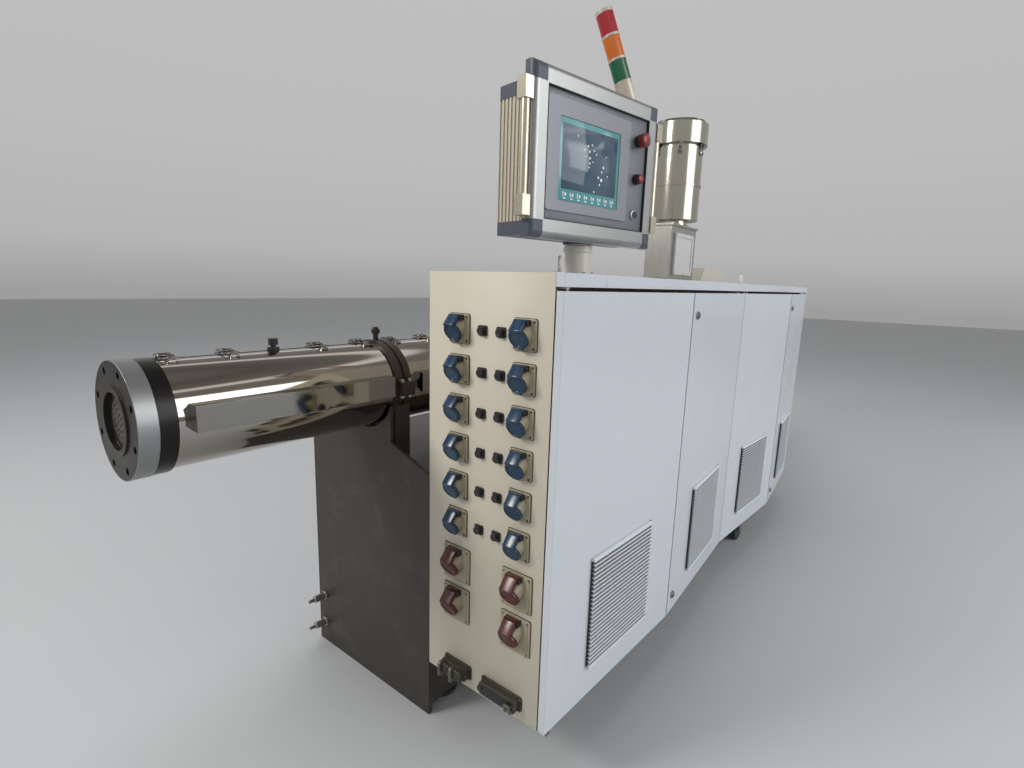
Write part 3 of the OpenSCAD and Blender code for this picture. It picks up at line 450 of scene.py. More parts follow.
def add_prism(bm, place, outline, x0, x1, broken=0.0):
    """A closed outline of (up, out) in millimetres, extruded along the local X from x0 to x1."""
    verts = [bm.verts.new(place @ Vector((x0 * MM, up * MM, out * MM))) for up, out in outline]
    grown = bmesh.ops.extrude_face_region(bm, geom=[bm.faces.new(verts)])
    far = [part for part in grown["geom"] if isinstance(part, bmesh.types.BMVert)]
    bmesh.ops.translate(bm, verts=far, vec=place.to_3x3() @ Vector(((x1 - x0) * MM, 0, 0)))
    if broken > 0:
        bevelled(bm, list({edge for vert in verts + far for edge in vert.link_edges}), broken)


def add_turned(bm, place, outline, steps=28):
    """Spins an outline of (radius, height) in millimetres round the local Z."""
    before = set(bm.verts)
    verts = [bm.verts.new((r * MM, 0, z * MM)) for r, z in outline]
    edges = [bm.edges.new(pair) for pair in zip(verts, verts[1:])]
    bmesh.ops.spin(bm, geom=verts + edges, cent=(0, 0, 0), axis=(0, 0, 1), angle=math.tau,
                   steps=steps, use_merge=True)
    made = [vert for vert in bm.verts if vert not in before]
    bmesh.ops.transform(bm, matrix=place, verts=made)
    bmesh.ops.remove_doubles(bm, verts=made, dist=1e-6)
    return [vert for vert in bm.verts if vert not in before]


print("shapes: block, plate, prism, turned")

# %% [markdown]
# Screws come in three kinds. The two round ones are outlines for the lathe, and the hexagon carries
# a turned stud end on its top. `piece` closes each build: it turns the faces outwards, gives the
# finish, shades it smooth apart from the sharp edges, says which body the piece rides on, and hides
# the frame nodes it stands for.

# %% Screws and pieces
SHARP = math.radians(38)


def socket_screw(r, h):
    return [(0, h * 0.35), (r * 0.5, h * 0.35), (r * 0.5, h), (r * 0.88, h), (r, h * 0.85),
            (r, -0.3)]


def pan_screw(r, h):
    return [(0, h), (r * 0.55, h * 0.9), (r * 0.9, h * 0.55), (r, 0.2 * h), (r, -0.3)]


def add_hex(bm, place, r, h):
    shape = place @ Matrix.Translation((0, 0, h * MM / 2))
    bmesh.ops.create_cone(bm, cap_ends=True, segments=6, radius1=r * MM, radius2=r * MM,
                          depth=h * MM, matrix=shape)
    stud = ((0, h + 2), (r * 0.55, h + 2), (r * 0.58, h + 1.4), (r * 0.58, h - 0.2))
    add_turned(bm, place, stud, 20)


def piece(title, body, look, build, stands_for=()):
    bm = bmesh.new()
    build(bm)
    bmesh.ops.recalc_face_normals(bm, faces=bm.faces[:])
    mesh = bpy.data.meshes.new(title)
    bm.to_mesh(mesh)
    bm.free()
    mesh.materials.append(FINISHES[look])
    mesh.shade_smooth()
    mesh.set_sharp_from_angle(angle=SHARP)
    made = bpy.data.objects.new(title, mesh)
    bpy.context.scene.collection.objects.link(made)
    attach(made, body)
    if stands_for:
        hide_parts(*stands_for)
    print("piece:", title, len(mesh.polygons), "faces")


# %% [markdown]
# ## The outlet panel
# The panel is the busiest face of the machine: two columns of angled outlets with two columns of
# small sensor sockets between them. The four red outlets at the foot are the larger three-phase
# kind. Their places are written down once, as heights and distances on the sheet, and every shape
# below is built by going through them.

# %% Outlet places
BLUE_Y = (-0.612, -0.403)
SOCKET_Y = (-0.540, -0.481)
ROW_Z = [1.200 - 0.105 * i for i in range(6)]
RED_Z = (0.550, 0.430)
BLUE_OUTLET = {"rows": ROW_Z, "flange": (68, 75), "scale": 1.0, "raised": 0, "inset": 6.5}
RED_OUTLET = {"rows": RED_Z, "flange": (95, 102), "scale": 1.12, "raised": 9, "inset": 8.5}
FLANGE_T = 6
FLANGE_ROUND = 6


def on_panel(y, z, proud=0.0):
    return placed((-proud * MM, y, z), (0, -1, 0), (-1, 0, 0))


def outlets(*kinds):
    for kind in kinds:
        for y in BLUE_Y:
            for z in kind["rows"]:
                yield on_panel(y, z), kind


def raised(place, kind):
    return place @ Matrix.Translation((0, kind["raised"] * MM, 0))


def scaled(outline, kind):
    return [(a * kind["scale"], b * kind["scale"]) for a, b in outline]


print("outlets:", len(list(outlets(BLUE_OUTLET, RED_OUTLET))))
print("sensor sockets:", len(SOCKET_Y) * len(ROW_Z))

# %% [markdown]
# An angled outlet is a round tube that leans out of its square flange. The source holds it as a
# plain leaning cylinder, and here it gets its finer shape in the same place. The tube is turned
# round the lid's own axis, with the collar that the lid shuts against, and it is cut off where it
# meets the sheet.

# %% Outlet housings
LID_TILT = math.radians(28)
LID_AT = (-10.6, 34.4)
LID_R = 26.0
STEP_IN, STEP_T, STEP_ROUND = 11, 2.5, 10
TUBE = ((0, -56), (24, -56), (24, -26), (22, -13), (22, -12), (26, -11), (26, -9.3), (0, -9.3))


def lid_place(place, kind):
    """The middle of the lid's face, with local Z out of it."""
    up, out = (value * kind["scale"] * MM for value in LID_AT)
    middle = raised(place, kind) @ Matrix.Translation((0, up, out))
    return middle @ Matrix.Rotation(LID_TILT, 4, "X")


def cut_at_sheet(bm, place, verts):
    """Cuts a shape off behind the flange and closes the cut."""
    geom = list({part for v in verts for part in (v, *v.link_edges, *v.link_faces)})
    cut = bmesh.ops.bisect_plane(bm, geom=geom, plane_co=place @ Vector((0, 0, 1 * MM)),
                                 plane_no=place.to_3x3() @ Vector((0, 0, 1)), clear_inner=True)
    edges = [part for part in cut["geom_cut"] if isinstance(part, bmesh.types.BMEdge)]
    bmesh.ops.holes_fill(bm, edges=edges, sides=0)


def outlet_housings(bm):
    for place, kind in outlets(BLUE_OUTLET, RED_OUTLET):
        w, h = kind["flange"]
        add_plate(bm, place, (w, h), FLANGE_T, FLANGE_ROUND)
        add_plate(bm, place, (w - STEP_IN, h - STEP_IN), STEP_T, STEP_ROUND, FLANGE_T)
        cut_at_sheet(bm, place, add_turned(bm, lid_place(place, kind), scaled(TUBE, kind), 40))


piece("outlet_housings", "machine", "outlet_beige", outlet_housings,
      ["outlet_bases"])

# %% [markdown]
# The lid is a sprung disc with a chin to lift it by, and a folded flap ties it to the hinge at the
# flange's top. Disc and chin share the lid's tilted place. The flap is drawn from the side, as one
# closed outline, and extruded across its width.

# %% Outlet lids
DISC = ((0, -9), (LID_R - 0.6, -9), (LID_R, -8.2), (LID_R, -3), (LID_R - 3, 0), (19, 0), (18, -1.4),
        (0, -1.4))
CHIN = ((-22, -1), (-28, -2.6), (-30, -5.5), (-29, -8), (-22, -9))
CHIN_HALF = 8
FLAP = ((36.5, 9), (37, 26), (35.5, 27.5), (12.5, 47), (7, 46), (6, 38), (27, 20), (28, 9))
FLAP_HALF = 16.5


def lids(kind):
    def build(bm):
        s = kind["scale"]
        for place, _ in outlets(kind):
            lid = lid_place(place, kind)
            add_turned(bm, lid, scaled(DISC, kind), 40)
            add_prism(bm, lid, scaled(CHIN, kind), -CHIN_HALF * s, CHIN_HALF * s, 1.2)
            half = FLAP_HALF * s
            add_prism(bm, raised(place, kind), scaled(FLAP, kind), -half, half, 1.4)

    return build


piece("blue_outlet_lids", "machine", "outlet_blue", lids(BLUE_OUTLET), ["blue_lids"])
piece("red_outlet_lids", "machine", "outlet_red", lids(RED_OUTLET), ["red_lids"])

# %% [markdown]
# Small dark parts make the outlets read: the hinge pin between its two cheeks, four screws in each
# flange, a thin seal that shows round the flange and under the lid, and the rimmed faces of the
# sensor sockets. The seal is a real part, and its dark rim also paints the shade at the flange's
# foot and under the lid's edge.

# %% Outlet trim
PIN_AT, PIN_R, PIN_L = (-19, 30, 17), 4.2, 38
CHEEK_X, CHEEK_T = 18.6, 3.2
# a dark ring just under the lid's rim: a real lid seal, and painted shade under the lid's edge
LID_SEAL_AND_SHADE = ((22, -9.4), (LID_R + 0.4, -9.4), (LID_R + 0.4, -8.8), (22, -8.8), (22, -9.4))
SOCKET_RIM = ((0, 14.2), (7.2, 14.2), (7.6, 14.7), (8.6, 14.7), (9, 14), (9, 13.6))


def hinge_pins(bm):
    for place, kind in outlets(BLUE_OUTLET, RED_OUTLET):
        s = kind["scale"]
        pin = raised(place, kind) @ Matrix.Translation([v * s * MM for v in PIN_AT])
        pin = pin @ Matrix.Rotation(math.pi / 2, 4, "Y")
        add_turned(bm, pin, [(0, 0), (PIN_R, 0), (PIN_R, PIN_L * s), (0, PIN_L * s)], 16)
        for sx in (-1, 1):
            add_block(bm, raised(place, kind), (sx * CHEEK_X * s - CHEEK_T / 2, 22 * s, 8),
                      (CHEEK_T, 14 * s, 16 * s), 1.2)


def flange_screws(bm):
    for place, kind in outlets(BLUE_OUTLET, RED_OUTLET):
        x, y = (side / 2 - kind["inset"] for side in kind["flange"])
        for sx in (-1, 1):
            for sy in (-1, 1):
                spot = place @ Matrix.Translation((sx * x * MM, sy * y * MM, FLANGE_T * MM))
                add_turned(bm, spot, pan_screw(3.6, 2.2), 16)


# a dark rim round each flange and under each lid: real seals, whose black also paints the shade
# there
def outlet_seals_and_shade(bm):
    for place, kind in outlets(BLUE_OUTLET, RED_OUTLET):
        w, h = kind["flange"]
        add_plate(bm, place, (w + 3, h + 3), 2.4, 6.5)
        add_turned(bm, lid_place(place, kind), scaled(LID_SEAL_AND_SHADE, kind), 40)


def socket_faces(bm):
    for y in SOCKET_Y:
        for z in ROW_Z:
            add_turned(bm, on_panel(y, z), SOCKET_RIM, 24)


piece("outlet_hinges", "machine", "black_plastic", hinge_pins)
piece("outlet_screws", "machine", "plate_dark", flange_screws)
piece("outlet_seals_and_shade", "machine", "rubber", outlet_seals_and_shade)
piece("socket_faces", "machine", "black_plastic", socket_faces)

# %% [markdown]
# The two heavy connectors sit at the foot of the panel. One carries its ribbed hood, held by two
# levers. The other is open: a wide cast frame with the dark contact block in its mouth and one
# lever at its end. Each is a stack of plates with round corners, which gives the stepped look of a
# casting.

# %% Heavy connectors
CLOSED_AT, CLOSED_W = -0.412, 102
OPEN_AT, OPEN_W = -0.572, 139
CONNECTOR_Z = 0.232
CONNECTOR_H = 43
RIBS = (-33, -22, 22, 33)
GUIDE_X = 57
BAR = ((-24, 27), (14, 27), (19, 33), (19, 41), (12, 46), (-22, 46), (-27, 40))
ARM = ((-23, 6), (-16, 34), (4, 40), (9, 34), (0, 24), (-8, 6))


def connector_housings(bm):
    closed = on_panel(CLOSED_AT, CONNECTOR_Z)
    add_plate(bm, closed, (CLOSED_W, CONNECTOR_H), 5, 6)
    add_plate(bm, closed, (CLOSED_W - 12, 35), 19, 4, 5)
    add_plate(bm, closed, (CLOSED_W - 22, 31), 14, 5, 24, 2.5)
    for x in RIBS:
        add_block(bm, closed, (x - 2, -18, 24), (4, 36, 12), 1.2)
    opened = on_panel(OPEN_AT, CONNECTOR_Z)
    add_plate(bm, opened, (OPEN_W, CONNECTOR_H), 5, 8)
    add_plate(bm, opened, (OPEN_W - 14, 38), 20, 10, 5, 1.2)
    for x in (-GUIDE_X, GUIDE_X):
        spot = opened @ Matrix.Translation((x * MM, 0, 25 * MM))
        add_turned(bm, spot, [(0, 5), (7, 5), (8, 3.6), (8, -0.2)], 24)


def connector_wells(bm):
    opened = on_panel(OPEN_AT, CONNECTOR_Z)
    add_plate(bm, opened, (OPEN_W - 46, 24), 2.2, 6, 24.6, 0.4)
    closed = on_panel(CLOSED_AT, CONNECTOR_Z)
    add_plate(bm, closed, (34, 20), 3, 3, 37, 0.6)


def connector_levers(bm):
    closed = on_panel(CLOSED_AT, CONNECTOR_Z)
    for x in (-41, 1):
        add_prism(bm, closed, BAR, x, x + 9, 1.6)
    opened = on_panel(OPEN_AT, CONNECTOR_Z)
    for x in (34, 49):
        add_prism(bm, opened, ARM, x, x + 6, 1.2)
    add_block(bm, opened, (34, 2, 32), (21, 8, 7), 1.6)
    add_block(bm, opened, (-OPEN_W / 2 + 8, -24, 8), (OPEN_W - 60, 4, 10), 1.2)
    for place, w in ((closed, CLOSED_W), (opened, OPEN_W)):
        for sx in (-1, 1):
            for sy in (-1, 1):
                spot = Matrix.Translation((sx * (w / 2 - 4.6) * MM, sy * 16 * MM, 5 * MM))
                add_turned(bm, place @ spot, socket_screw(3, 2.6), 16)


piece("connector_housings", "machine", "hood_grey", connector_housings,
      ["bus_connectors"])
piece("connector_wells", "machine", "black_plastic", connector_wells)
piece("connector_levers", "machine", "lever_grey", connector_levers)

# %% [markdown]
# In the real cabinet the front sheet runs up to the roof's edge without a break. A skin under a
# millimetre thick, over the sheet and the end of the roof's band, shows it that way.

# %% Front skin
SKIN_LOW = (290.5, 184, 0)
SKIN_SIZE = (399, 1158.6, 0.8)
piece("front_skin", "machine", "panel_coat",
      lambda bm: add_block(bm, on_panel(0, 0), SKIN_LOW, SKIN_SIZE, 0.3))

# %% [markdown]
# ## The screw line
# The barrel's heaters hide under four polished covers. Dark rings close each cover at both ends, a
# seam runs along its top, and the clamp rings between the covers carry their bolts. All of it
# repeats at one pitch, so each shape is drawn for the first zone and stepped along the barrel's
# axis.

# %% Screw line
COVER_X0 = -0.567
COVER_LEN = 0.584
ZONE_PITCH = 0.640
ZONES = 4
CLAMP_X = 0.017
CLAMP_W = 0.056
END_RING = ((75.5, 0), (122.4, 0), (122.4, 6), (75.5, 6), (75.5, 0))
RING_FRONT, RING_REAR = 0.004, 0.010
SEAM_AT, SEAM_SIZE = (6, -2, 125.2), (572, 4, 1.6)
EAR_Y = 0.1402
EAR_T = 0.040
EAR_BOLT_X = 0.014


def along_axis(x):
    return placed((x, 0, AXIS_Z), (0, 1, 0), (1, 0, 0))


def cover_ends(bm):
    for i in range(ZONES):
        for x in (COVER_X0 + RING_FRONT, COVER_X0 + COVER_LEN - RING_REAR):
            add_turned(bm, along_axis(x + i * ZONE_PITCH), END_RING, 72)


def cover_seams(bm):
    for i in range(ZONES):
        add_block(bm, placed((COVER_X0 + i * ZONE_PITCH, 0, AXIS_Z)), SEAM_AT, SEAM_SIZE, 0.5)


def clamp_bolts(bm):
    for i in range(ZONES):
        x = CLAMP_X + CLAMP_W / 2 + i * ZONE_PITCH
        for sy in (-1, 1):
            for dx in (-EAR_BOLT_X, EAR_BOLT_X):
                for up in (1, -1):
                    spot = placed((x + dx, sy * EAR_Y, AXIS_Z + up * EAR_T / 2), out=(0, 0, up))
                    add_hex(bm, spot, 8.5, 7)


piece("cover_end_rings", "machine", "rubber", cover_ends)
piece("cover_seams", "machine", "clamp_iron", cover_seams)
piece("clamp_bolts", "machine", "zinc", clamp_bolts)

# %% [markdown]
# A toggle latch draws the two edges of a cover together. Its lever turns on a pivot over the base
# plate and pulls a wire bail, which catches a hook on the other edge. The source has it as plain
# blocks. Here the lever and the hook are side outlines, the pivot is turned, and the bail is three
# thin bars.

# %% Toggle latches
COVER_R = 0.126
LATCH_X = (0.030, 0.167, 0.410, 0.550)
LATCH_SCALE = 1.25
LEVER = ((3, 3), (7, 7.5), (20, 5.6), (27, 2.4), (30, 4.2), (21, 8.6), (7, 10.4), (0, 6))
HOOK = ((-30, 0), (-26, 5.8), (-22, 6.4), (-22, 4.6), (-25, 3.6), (-27, 0))


def latch_sets(bm):
    for i in range(ZONES):
        for dx in LATCH_X:
            place = placed((COVER_X0 + i * ZONE_PITCH + dx, 0, AXIS_Z + COVER_R))
            place = place @ Matrix.Scale(LATCH_SCALE, 4)
            add_block(bm, place, (-15, 0, -2.6), (30, 25, 4.2), 0.6)
            add_prism(bm, place, LEVER, -11, 11, 0.5)
            pivot = place @ Matrix.Translation((-16 * MM, 6 * MM, 4.4 * MM))
            pivot = pivot @ Matrix.Rotation(math.pi / 2, 4, "Y")
            add_turned(bm, pivot, [(0, 0), (2.6, 0), (2.6, 32), (0, 32)], 14)
            for x in (-14.4, 12.8):
                add_block(bm, place, (x, -23, 3.2), (1.8, 31, 1.8), 0.5)
            add_block(bm, place, (-14.4, -24, 3.2), (29, 1.8, 1.8), 0.5)
            add_block(bm, place, (-8, -31, -4.4), (16, 13, 4.6), 0.6)
            add_prism(bm, place, HOOK, -6, 6, 0.4)


piece("latch_sets", "machine", "toggle_steel", latch_sets, ["cover_latches"])

# %% [markdown]
# ## Hopper and loader
# The feed stands behind the cabinet: a hopper box with a framed window, and a vacuum loader on top
# of it. The frame of the window is screwed on all round, the flanges carry bolts, and the loader's
# box has two knobs.

# %% Hopper and loader trim
FEED_X = 2.292
HOPPER_TOP_Z = 1.687
SCREW_INSET = 0.011
TOP_BOLT_X, TOP_BOLT_Y = (-0.185, -0.09, 0.09, 0.185), 0.080
LOW_BOLT_X, LOW_BOLT_Y, LOW_BOLT_Z = (-0.094, 0.094), 0.072, AXIS_Z + 0.194
KNOB_UP, KNOB_IN = 0.215, 0.030


def window_screws(bm):
    low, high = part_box("hopper_window")
    middle_z = (low[2] + high[2]) / 2
    for x in (low[0] + SCREW_INSET, (low[0] + high[0]) / 2, high[0] - SCREW_INSET):
        for z in (low[2] + SCREW_INSET, middle_z, high[2] - SCREW_INSET):
            if abs(x - FEED_X) > 0.01 or abs(z - middle_z) > 0.01:
                add_turned(bm, placed((x, low[1], z), (1, 0, 0), (0, -1, 0)), pan_screw(4.5, 3), 16)


def hopper_bolts(bm):
    for dx in TOP_BOLT_X:
        for sy in (-1, 1):
            add_hex(bm, placed((FEED_X + dx, sy * TOP_BOLT_Y, HOPPER_TOP_Z)), 5.5, 5)
    for dx in LOW_BOLT_X:
        for sy in (-1, 1):
            add_hex(bm, placed((FEED_X + dx, sy * LOW_BOLT_Y, LOW_BOLT_Z)), 7, 6)


def control_knob(bm):
    low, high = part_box("loader_control_box")
    knob_z = low[2] + KNOB_UP
    place = placed((high[0], 0, knob_z), (0, 1, 0), (1, 0, 0))
    add_turned(bm, place, [(0, 9), (9, 9), (11, 7), (12, -0.3)], 28)
    side = placed((high[0] - KNOB_IN, low[1], knob_z), (1, 0, 0), (0, -1, 0))
    add_turned(bm, side, [(0, 8), (8, 8), (10, 6), (11, -0.3)], 28)


piece("window_screws", "machine", "zinc", window_screws)
piece("hopper_bolts", "machine", "zinc", hopper_bolts)
piece("control_knob", "machine", "black_plastic", control_knob)

# %% [markdown]
# ## Gear case
# A split gear case shows a row of bolts along its joint, a sparser row along its feet and a ring of
# bolts where the motor's lantern is flanged on. A round sight glass shows the oil.

# %% Gear case trim
GEARBOX_X = 2.560
GEARBOX_L = 0.620
GEARBOX_W = 0.520
DECK_Z = 0.765
JOINT_BOLTS, JOINT_END = 9, 0.030
JOINT_Y, JOINT_Z = GEARBOX_W / 2 + 0.011, AXIS_Z + 0.015
TOE_Y, TOE_Z = GEARBOX_W / 2 + 0.017, DECK_Z + 0.030
FLANGE_BOLTS = 8
FLANGE_BOLT_R = 0.130
FLANGE_BOLT_X = GEARBOX_X + GEARBOX_L + 0.028
SIGHT_AT = (GEARBOX_X + 0.31, GEARBOX_W / 2, AXIS_Z - 0.10)


def gearbox_bolts(bm):
    for i in range(JOINT_BOLTS):
        x = GEARBOX_X + JOINT_END + i * (GEARBOX_L - 2 * JOINT_END) / (JOINT_BOLTS - 1)
        for sy in (-1, 1):
            add_hex(bm, placed((x, sy * JOINT_Y, JOINT_Z)), 6, 6)
            if i % 2 == 0:
                add_hex(bm, placed((x, sy * TOE_Y, TOE_Z)), 8, 9)
    for i in range(FLANGE_BOLTS):
        a = math.tau * i / FLANGE_BOLTS
        y, z = FLANGE_BOLT_R * math.cos(a), AXIS_Z + FLANGE_BOLT_R * math.sin(a)
        add_hex(bm, placed((FLANGE_BOLT_X, y, z), (0, 1, 0), (1, 0, 0)), 6.5, 6)


def sight_glass(bm):
    place = placed(SIGHT_AT, out=(0, 1, 0))
    add_turned(bm, place, [(0, 4), (13, 4), (13, 8), (19, 8), (20, 6), (20, -0.3)], 32)


piece("gearbox_bolts", "machine", "zinc", gearbox_bolts)
piece("sight_glass", "machine", "toggle_steel", sight_glass)

# %% [markdown]
# ## Motor and feet
# The fan cowl at the motor's end is closed by a grille of rings on spokes. The motor is bolted to
# its rails, and its terminal box has a screw at each corner. Each levelling foot of the base has a
# large nut under the frame.

# %% Motor and foot trim
REAR_DECK_Z = 0.685
MOTOR_X = GEARBOX_X + GEARBOX_L + 0.190
DRIVE_END_X = 4.120
FOOT_X = (0.110, 1.000, 1.900, 2.700, 3.330, 3.860)
FOOT_Y = 0.227
NUT_R, NUT_H = 0.030, 0.012
COWL_RINGS, SPOKES = range(36, 226, 18), 8
RAIL_BOLT_X = (MOTOR_X + 0.056, DRIVE_END_X - 0.364)
RAIL_BOLT_Y, RAIL_BOLT_Z = 0.232, REAR_DECK_Z + 0.190
BOX_BOLT_X = (MOTOR_X + 0.135, MOTOR_X + 0.345)
BOX_BOLT_Y, BOX_BOLT_Z = 0.095, AXIS_Z + 0.320


def cowl_grille(bm):
    place = along_axis(DRIVE_END_X)
    for r in COWL_RINGS:
        add_turned(bm, place, [(r - 3, -0.5), (r - 3, 3), (r + 3, 3), (r + 3, -0.5)], 64)
    for i in range(SPOKES):
        spoke = place @ Matrix.Rotation(math.tau * i / SPOKES, 4, "Z")
        add_block(bm, spoke, (30, -4, -0.5), (192, 8, 4.5), 1.0)


def motor_bolts(bm):
    for x in RAIL_BOLT_X:
        for sy in (-1, 1):
            add_hex(bm, placed((x, sy * RAIL_BOLT_Y, RAIL_BOLT_Z)), 9, 8)
    for x in BOX_BOLT_X:
        for sy in (-1, 1):
            add_turned(bm, placed((x, sy * BOX_BOLT_Y, BOX_BOLT_Z)), socket_screw(5, 4), 20)


def foot_nuts(bm):
    for x in FOOT_X:
        for sy in (-1, 1):
            spot = placed((x, sy * FOOT_Y, NUT_H * 1.5))
            bmesh.ops.create_cone(bm, cap_ends=True, segments=6, radius1=NUT_R, radius2=NUT_R,
                                  depth=NUT_H, matrix=spot)


piece("cowl_grille", "machine", "machine_grey", cowl_grille)
piece("motor_bolts", "machine", "zinc", motor_bolts)
piece("foot_nuts", "machine", "zinc", foot_nuts)

# %% [markdown]
# ## Doors
# The leaves stand ajar at rest, so whatever belongs to a leaf is drawn on the shut door and then
# turned about its hinge pin by the same angle. A dark rubber seal runs round the inside of each
# leaf, in four bars: a real gasket, whose black also paints the shade seen through the gaps between
# the leaves.

# %% Doors and seals
DOOR_Y = -0.713
CAB_Z = 0.183
DOOR_TOP = 1.303
HINGE_Y = DOOR_Y + 0.005
INSET = 0.017
EDGES_X = ((0.0, 0.69425), (0.70075, 1.39175), (1.39825, 2.03925), (2.04575, 2.690))
AJAR = (-3.0, 3.0, -4.5, 4.5)
SEAL_W, SEAL_T, SEAL_CLEAR = 10, 8, 26


def door_turn(n):
    x0, x1 = EDGES_X[n - 1]
    pin_x = x0 + INSET if n % 2 else x1 - INSET
    pin = Matrix.Translation((pin_x, HINGE_Y, 0))
    return pin @ Matrix.Rotation(math.radians(AJAR[n - 1]), 4, "Z") @ pin.inverted()


# a dark gasket inside each leaf: a real seal, whose black also paints the shade seen through the
# gaps between the leaves
def door_seal_and_shade(n):
    x0, x1 = (x / MM for x in EDGES_X[n - 1])
    z0, z1 = CAB_Z / MM, DOOR_TOP / MM
    face = DOOR_Y / MM + 3
    left, right, low, high = x0 + SEAL_CLEAR, x1 - SEAL_CLEAR, z0 + 8, z1 - 8

    def build(bm):
        place = door_turn(n)
        for z in (low, high - SEAL_W):
            add_block(bm, place, (left, face, z), (right - left, SEAL_T, SEAL_W), 2.5)
        for x in (left, right - SEAL_W):
            add_block(bm, place, (x, face, low), (SEAL_W, SEAL_T, high - low), 2.5)

    return build


print("seals for", len(EDGES_X), "doors, ajar by", AJAR, "degrees")

# %% [markdown]
# A grille is a tray of slats over a cut-out. Each slat is one side outline: an upright lip in
# front, a web under it and a flange that runs back to the dark filter mat. The mat is a real part,
# and its near-black colour also paints the shade in the gaps between the slats and on the grille's
# side, so that the gaps stay dark from any side.

# %% Grilles
VENT_W, VENT_H, VENT_Z, SLATS = 335, 330, 0.275, 25
VENT_LOW, VENT_CAP = 6, 9
SLAT = ((0.3, 12), (5.2, 12), (4.2, 5.6), (2.9, 5.6), (3.6, 10.9), (0.3, 10.9))
CAP = ((VENT_H - 9, 12), (VENT_H - 1, 9), (VENT_H, 6), (VENT_H, 0.2), (VENT_H - 9, 0.2))


def on_door(n, x, z):
    return door_turn(n) @ placed((x, DOOR_Y, z), out=(0, -1, 0))


def grille(n):
    """The slats, a cap over them, a sill under them and a strip that closes one side."""

    def build(bm):
        place = on_door(n, sum(EDGES_X[n - 1]) / 2, VENT_Z)
        half = VENT_W / 2
        pitch = (VENT_H - VENT_LOW - VENT_CAP) / SLATS
        for i in range(SLATS):
            up = (VENT_LOW + i * pitch) * MM
            add_prism(bm, place @ Matrix.Translation((0, up, 0)), SLAT, -half, half)
        add_prism(bm, place, CAP, -half, half, 0.4)
        add_block(bm, place, (-half, 0, 0.2), (VENT_W, 6, 11.8), 0.4)
        add_block(bm, place, (half - 7, 0, 0.2), (7, VENT_H, 8), 0.4)

    return build


# a near-black mat behind the slats: a real filter mat, and painted shade for the gaps and the
# grille's side
def grille_shade_mat(n):
    return lambda bm: add_block(bm, on_door(n, sum(EDGES_X[n - 1]) / 2, VENT_Z),
                                (-VENT_W / 2 + 0.6, 1, 0.1), (VENT_W - 2, VENT_H - 3, 6), 0.4)


for n in (1, 2, 3, 4):
    piece(f"door_seal_and_shade_{n}", f"door_leaf_{n}", "rubber", door_seal_and_shade(n))
    piece(f"grille_shade_mat_{n}", f"door_leaf_{n}", "filter_mat_and_shade", grille_shade_mat(n))
    piece(f"grille_{n}", f"door_leaf_{n}", "vent_coat", grille(n), [f"vent_{n}"])

# %% [markdown]
# The second and the fourth leaf carry two quarter-turn locks each. The source has their round
# heads, and here each head gets its dark slot.

# %% Lock slots
LOCKED = (2, 4)
LOCK_X = 0.040
LOCK_Z = (0.245, 1.232)
LOCK_PROUD = 0.008


def lock_slots(n):
    def build(bm):
        x = EDGES_X[n - 1][0] + LOCK_X
        for z in LOCK_Z:
            place = door_turn(n) @ placed((x, DOOR_Y - LOCK_PROUD, z), out=(0, -1, 0))
            add_block(bm, place, (-6.5, -1.6, -0.2), (13, 3.2, 0.9), 0.3)

    return build


for n in LOCKED:
    piece(f"lock_slots_{n}", f"door_leaf_{n}", "black_plastic", lock_slots(n))

# %% [markdown]
# ## The operator panel
# The panel stands on its neck, turned a little towards the die. One matrix carries that turn, and
# everything on the panel's face is placed through it, in millimetres from the middle of the panel's
# foot.

# %% Panel face
NECK = (0.394, -0.4985, 1.433)
PANEL_TURN = math.radians(-10)
PANEL_W, PANEL_D, PANEL_H, PROFILE_W = 518, 140, 412, 48
BOX_SHIFT = (-0.014, -0.010, 0)
FACE_IN = 8  # the face plate lies this far behind the profiles' front
SCREEN_W, SCREEN_H = 335, 275
SCREEN_X = -PANEL_W / 2 + PROFILE_W + 4 + SCREEN_W / 2
SCREEN_Z = PANEL_H / 2 + 3
BUTTON_X = PANEL_W / 2 - PROFILE_W - 42

to_panel = Matrix.Translation(NECK) @ Matrix.Rotation(PANEL_TURN, 4, "Z")
to_panel = to_panel @ Matrix.Translation(BOX_SHIFT)


def on_face(x, z, proud=0.0):
    """On the face plate: local X to the right, Y up, Z out."""
    y = -PANEL_D / 2 + FACE_IN - proud
    return to_panel @ placed((x * MM, y * MM, z * MM), out=(0, -1, 0))


print("face plate", PANEL_W - 2 * PROFILE_W, "by", PANEL_H - 2 * PROFILE_W, "mm")

# %% [markdown]
# The screen sits in the recess of its bezel: a teal border, a dark glass with a few pale marks, and
# a row of eight keys. The marks are plain dots and bars, with nothing to read. Each layer is a thin
# plate a little in front of the one before it, so that none of them shares a surface with another.

# %% Screen
GLASS_W, GLASS_H = SCREEN_W - 90, SCREEN_H - 72
MARKS = (  # right, up, radius
    (-8, 30, 3.2), (2, 34, 2.6), (-16, 22, 2.6), (-4, 20, 3.4), (8, 24, 2.4), (14, 18, 2.6),
    (-12, 10, 2.4), (-2, 8, 3.2), (-2, -2, 2.8), (6, 2, 2.2), (-4, -10, 2.4), (34, -4, 3.8),
    (30, -14, 2.8), (22, -26, 3.4), (30, -30, 4.6), (26, -40, 3.0), (-34, 44, 2.4),
    (46, -20, 2.2), (12, -56, 2.6), (40, 18, 2.0),
)
SPREAD_X, SPREAD_Y = 1.6, 1.3
KEYS, KEY_PITCH = 8, 28


def face_sheet(bm):
    w, h = PANEL_W - 2 * PROFILE_W, PANEL_H - 2 * PROFILE_W
    add_block(bm, on_face(0, PANEL_H / 2), (-w / 2 + 1, -h / 2 + 1, -0.2), (w - 2, h - 2, 0.9), 0.2)


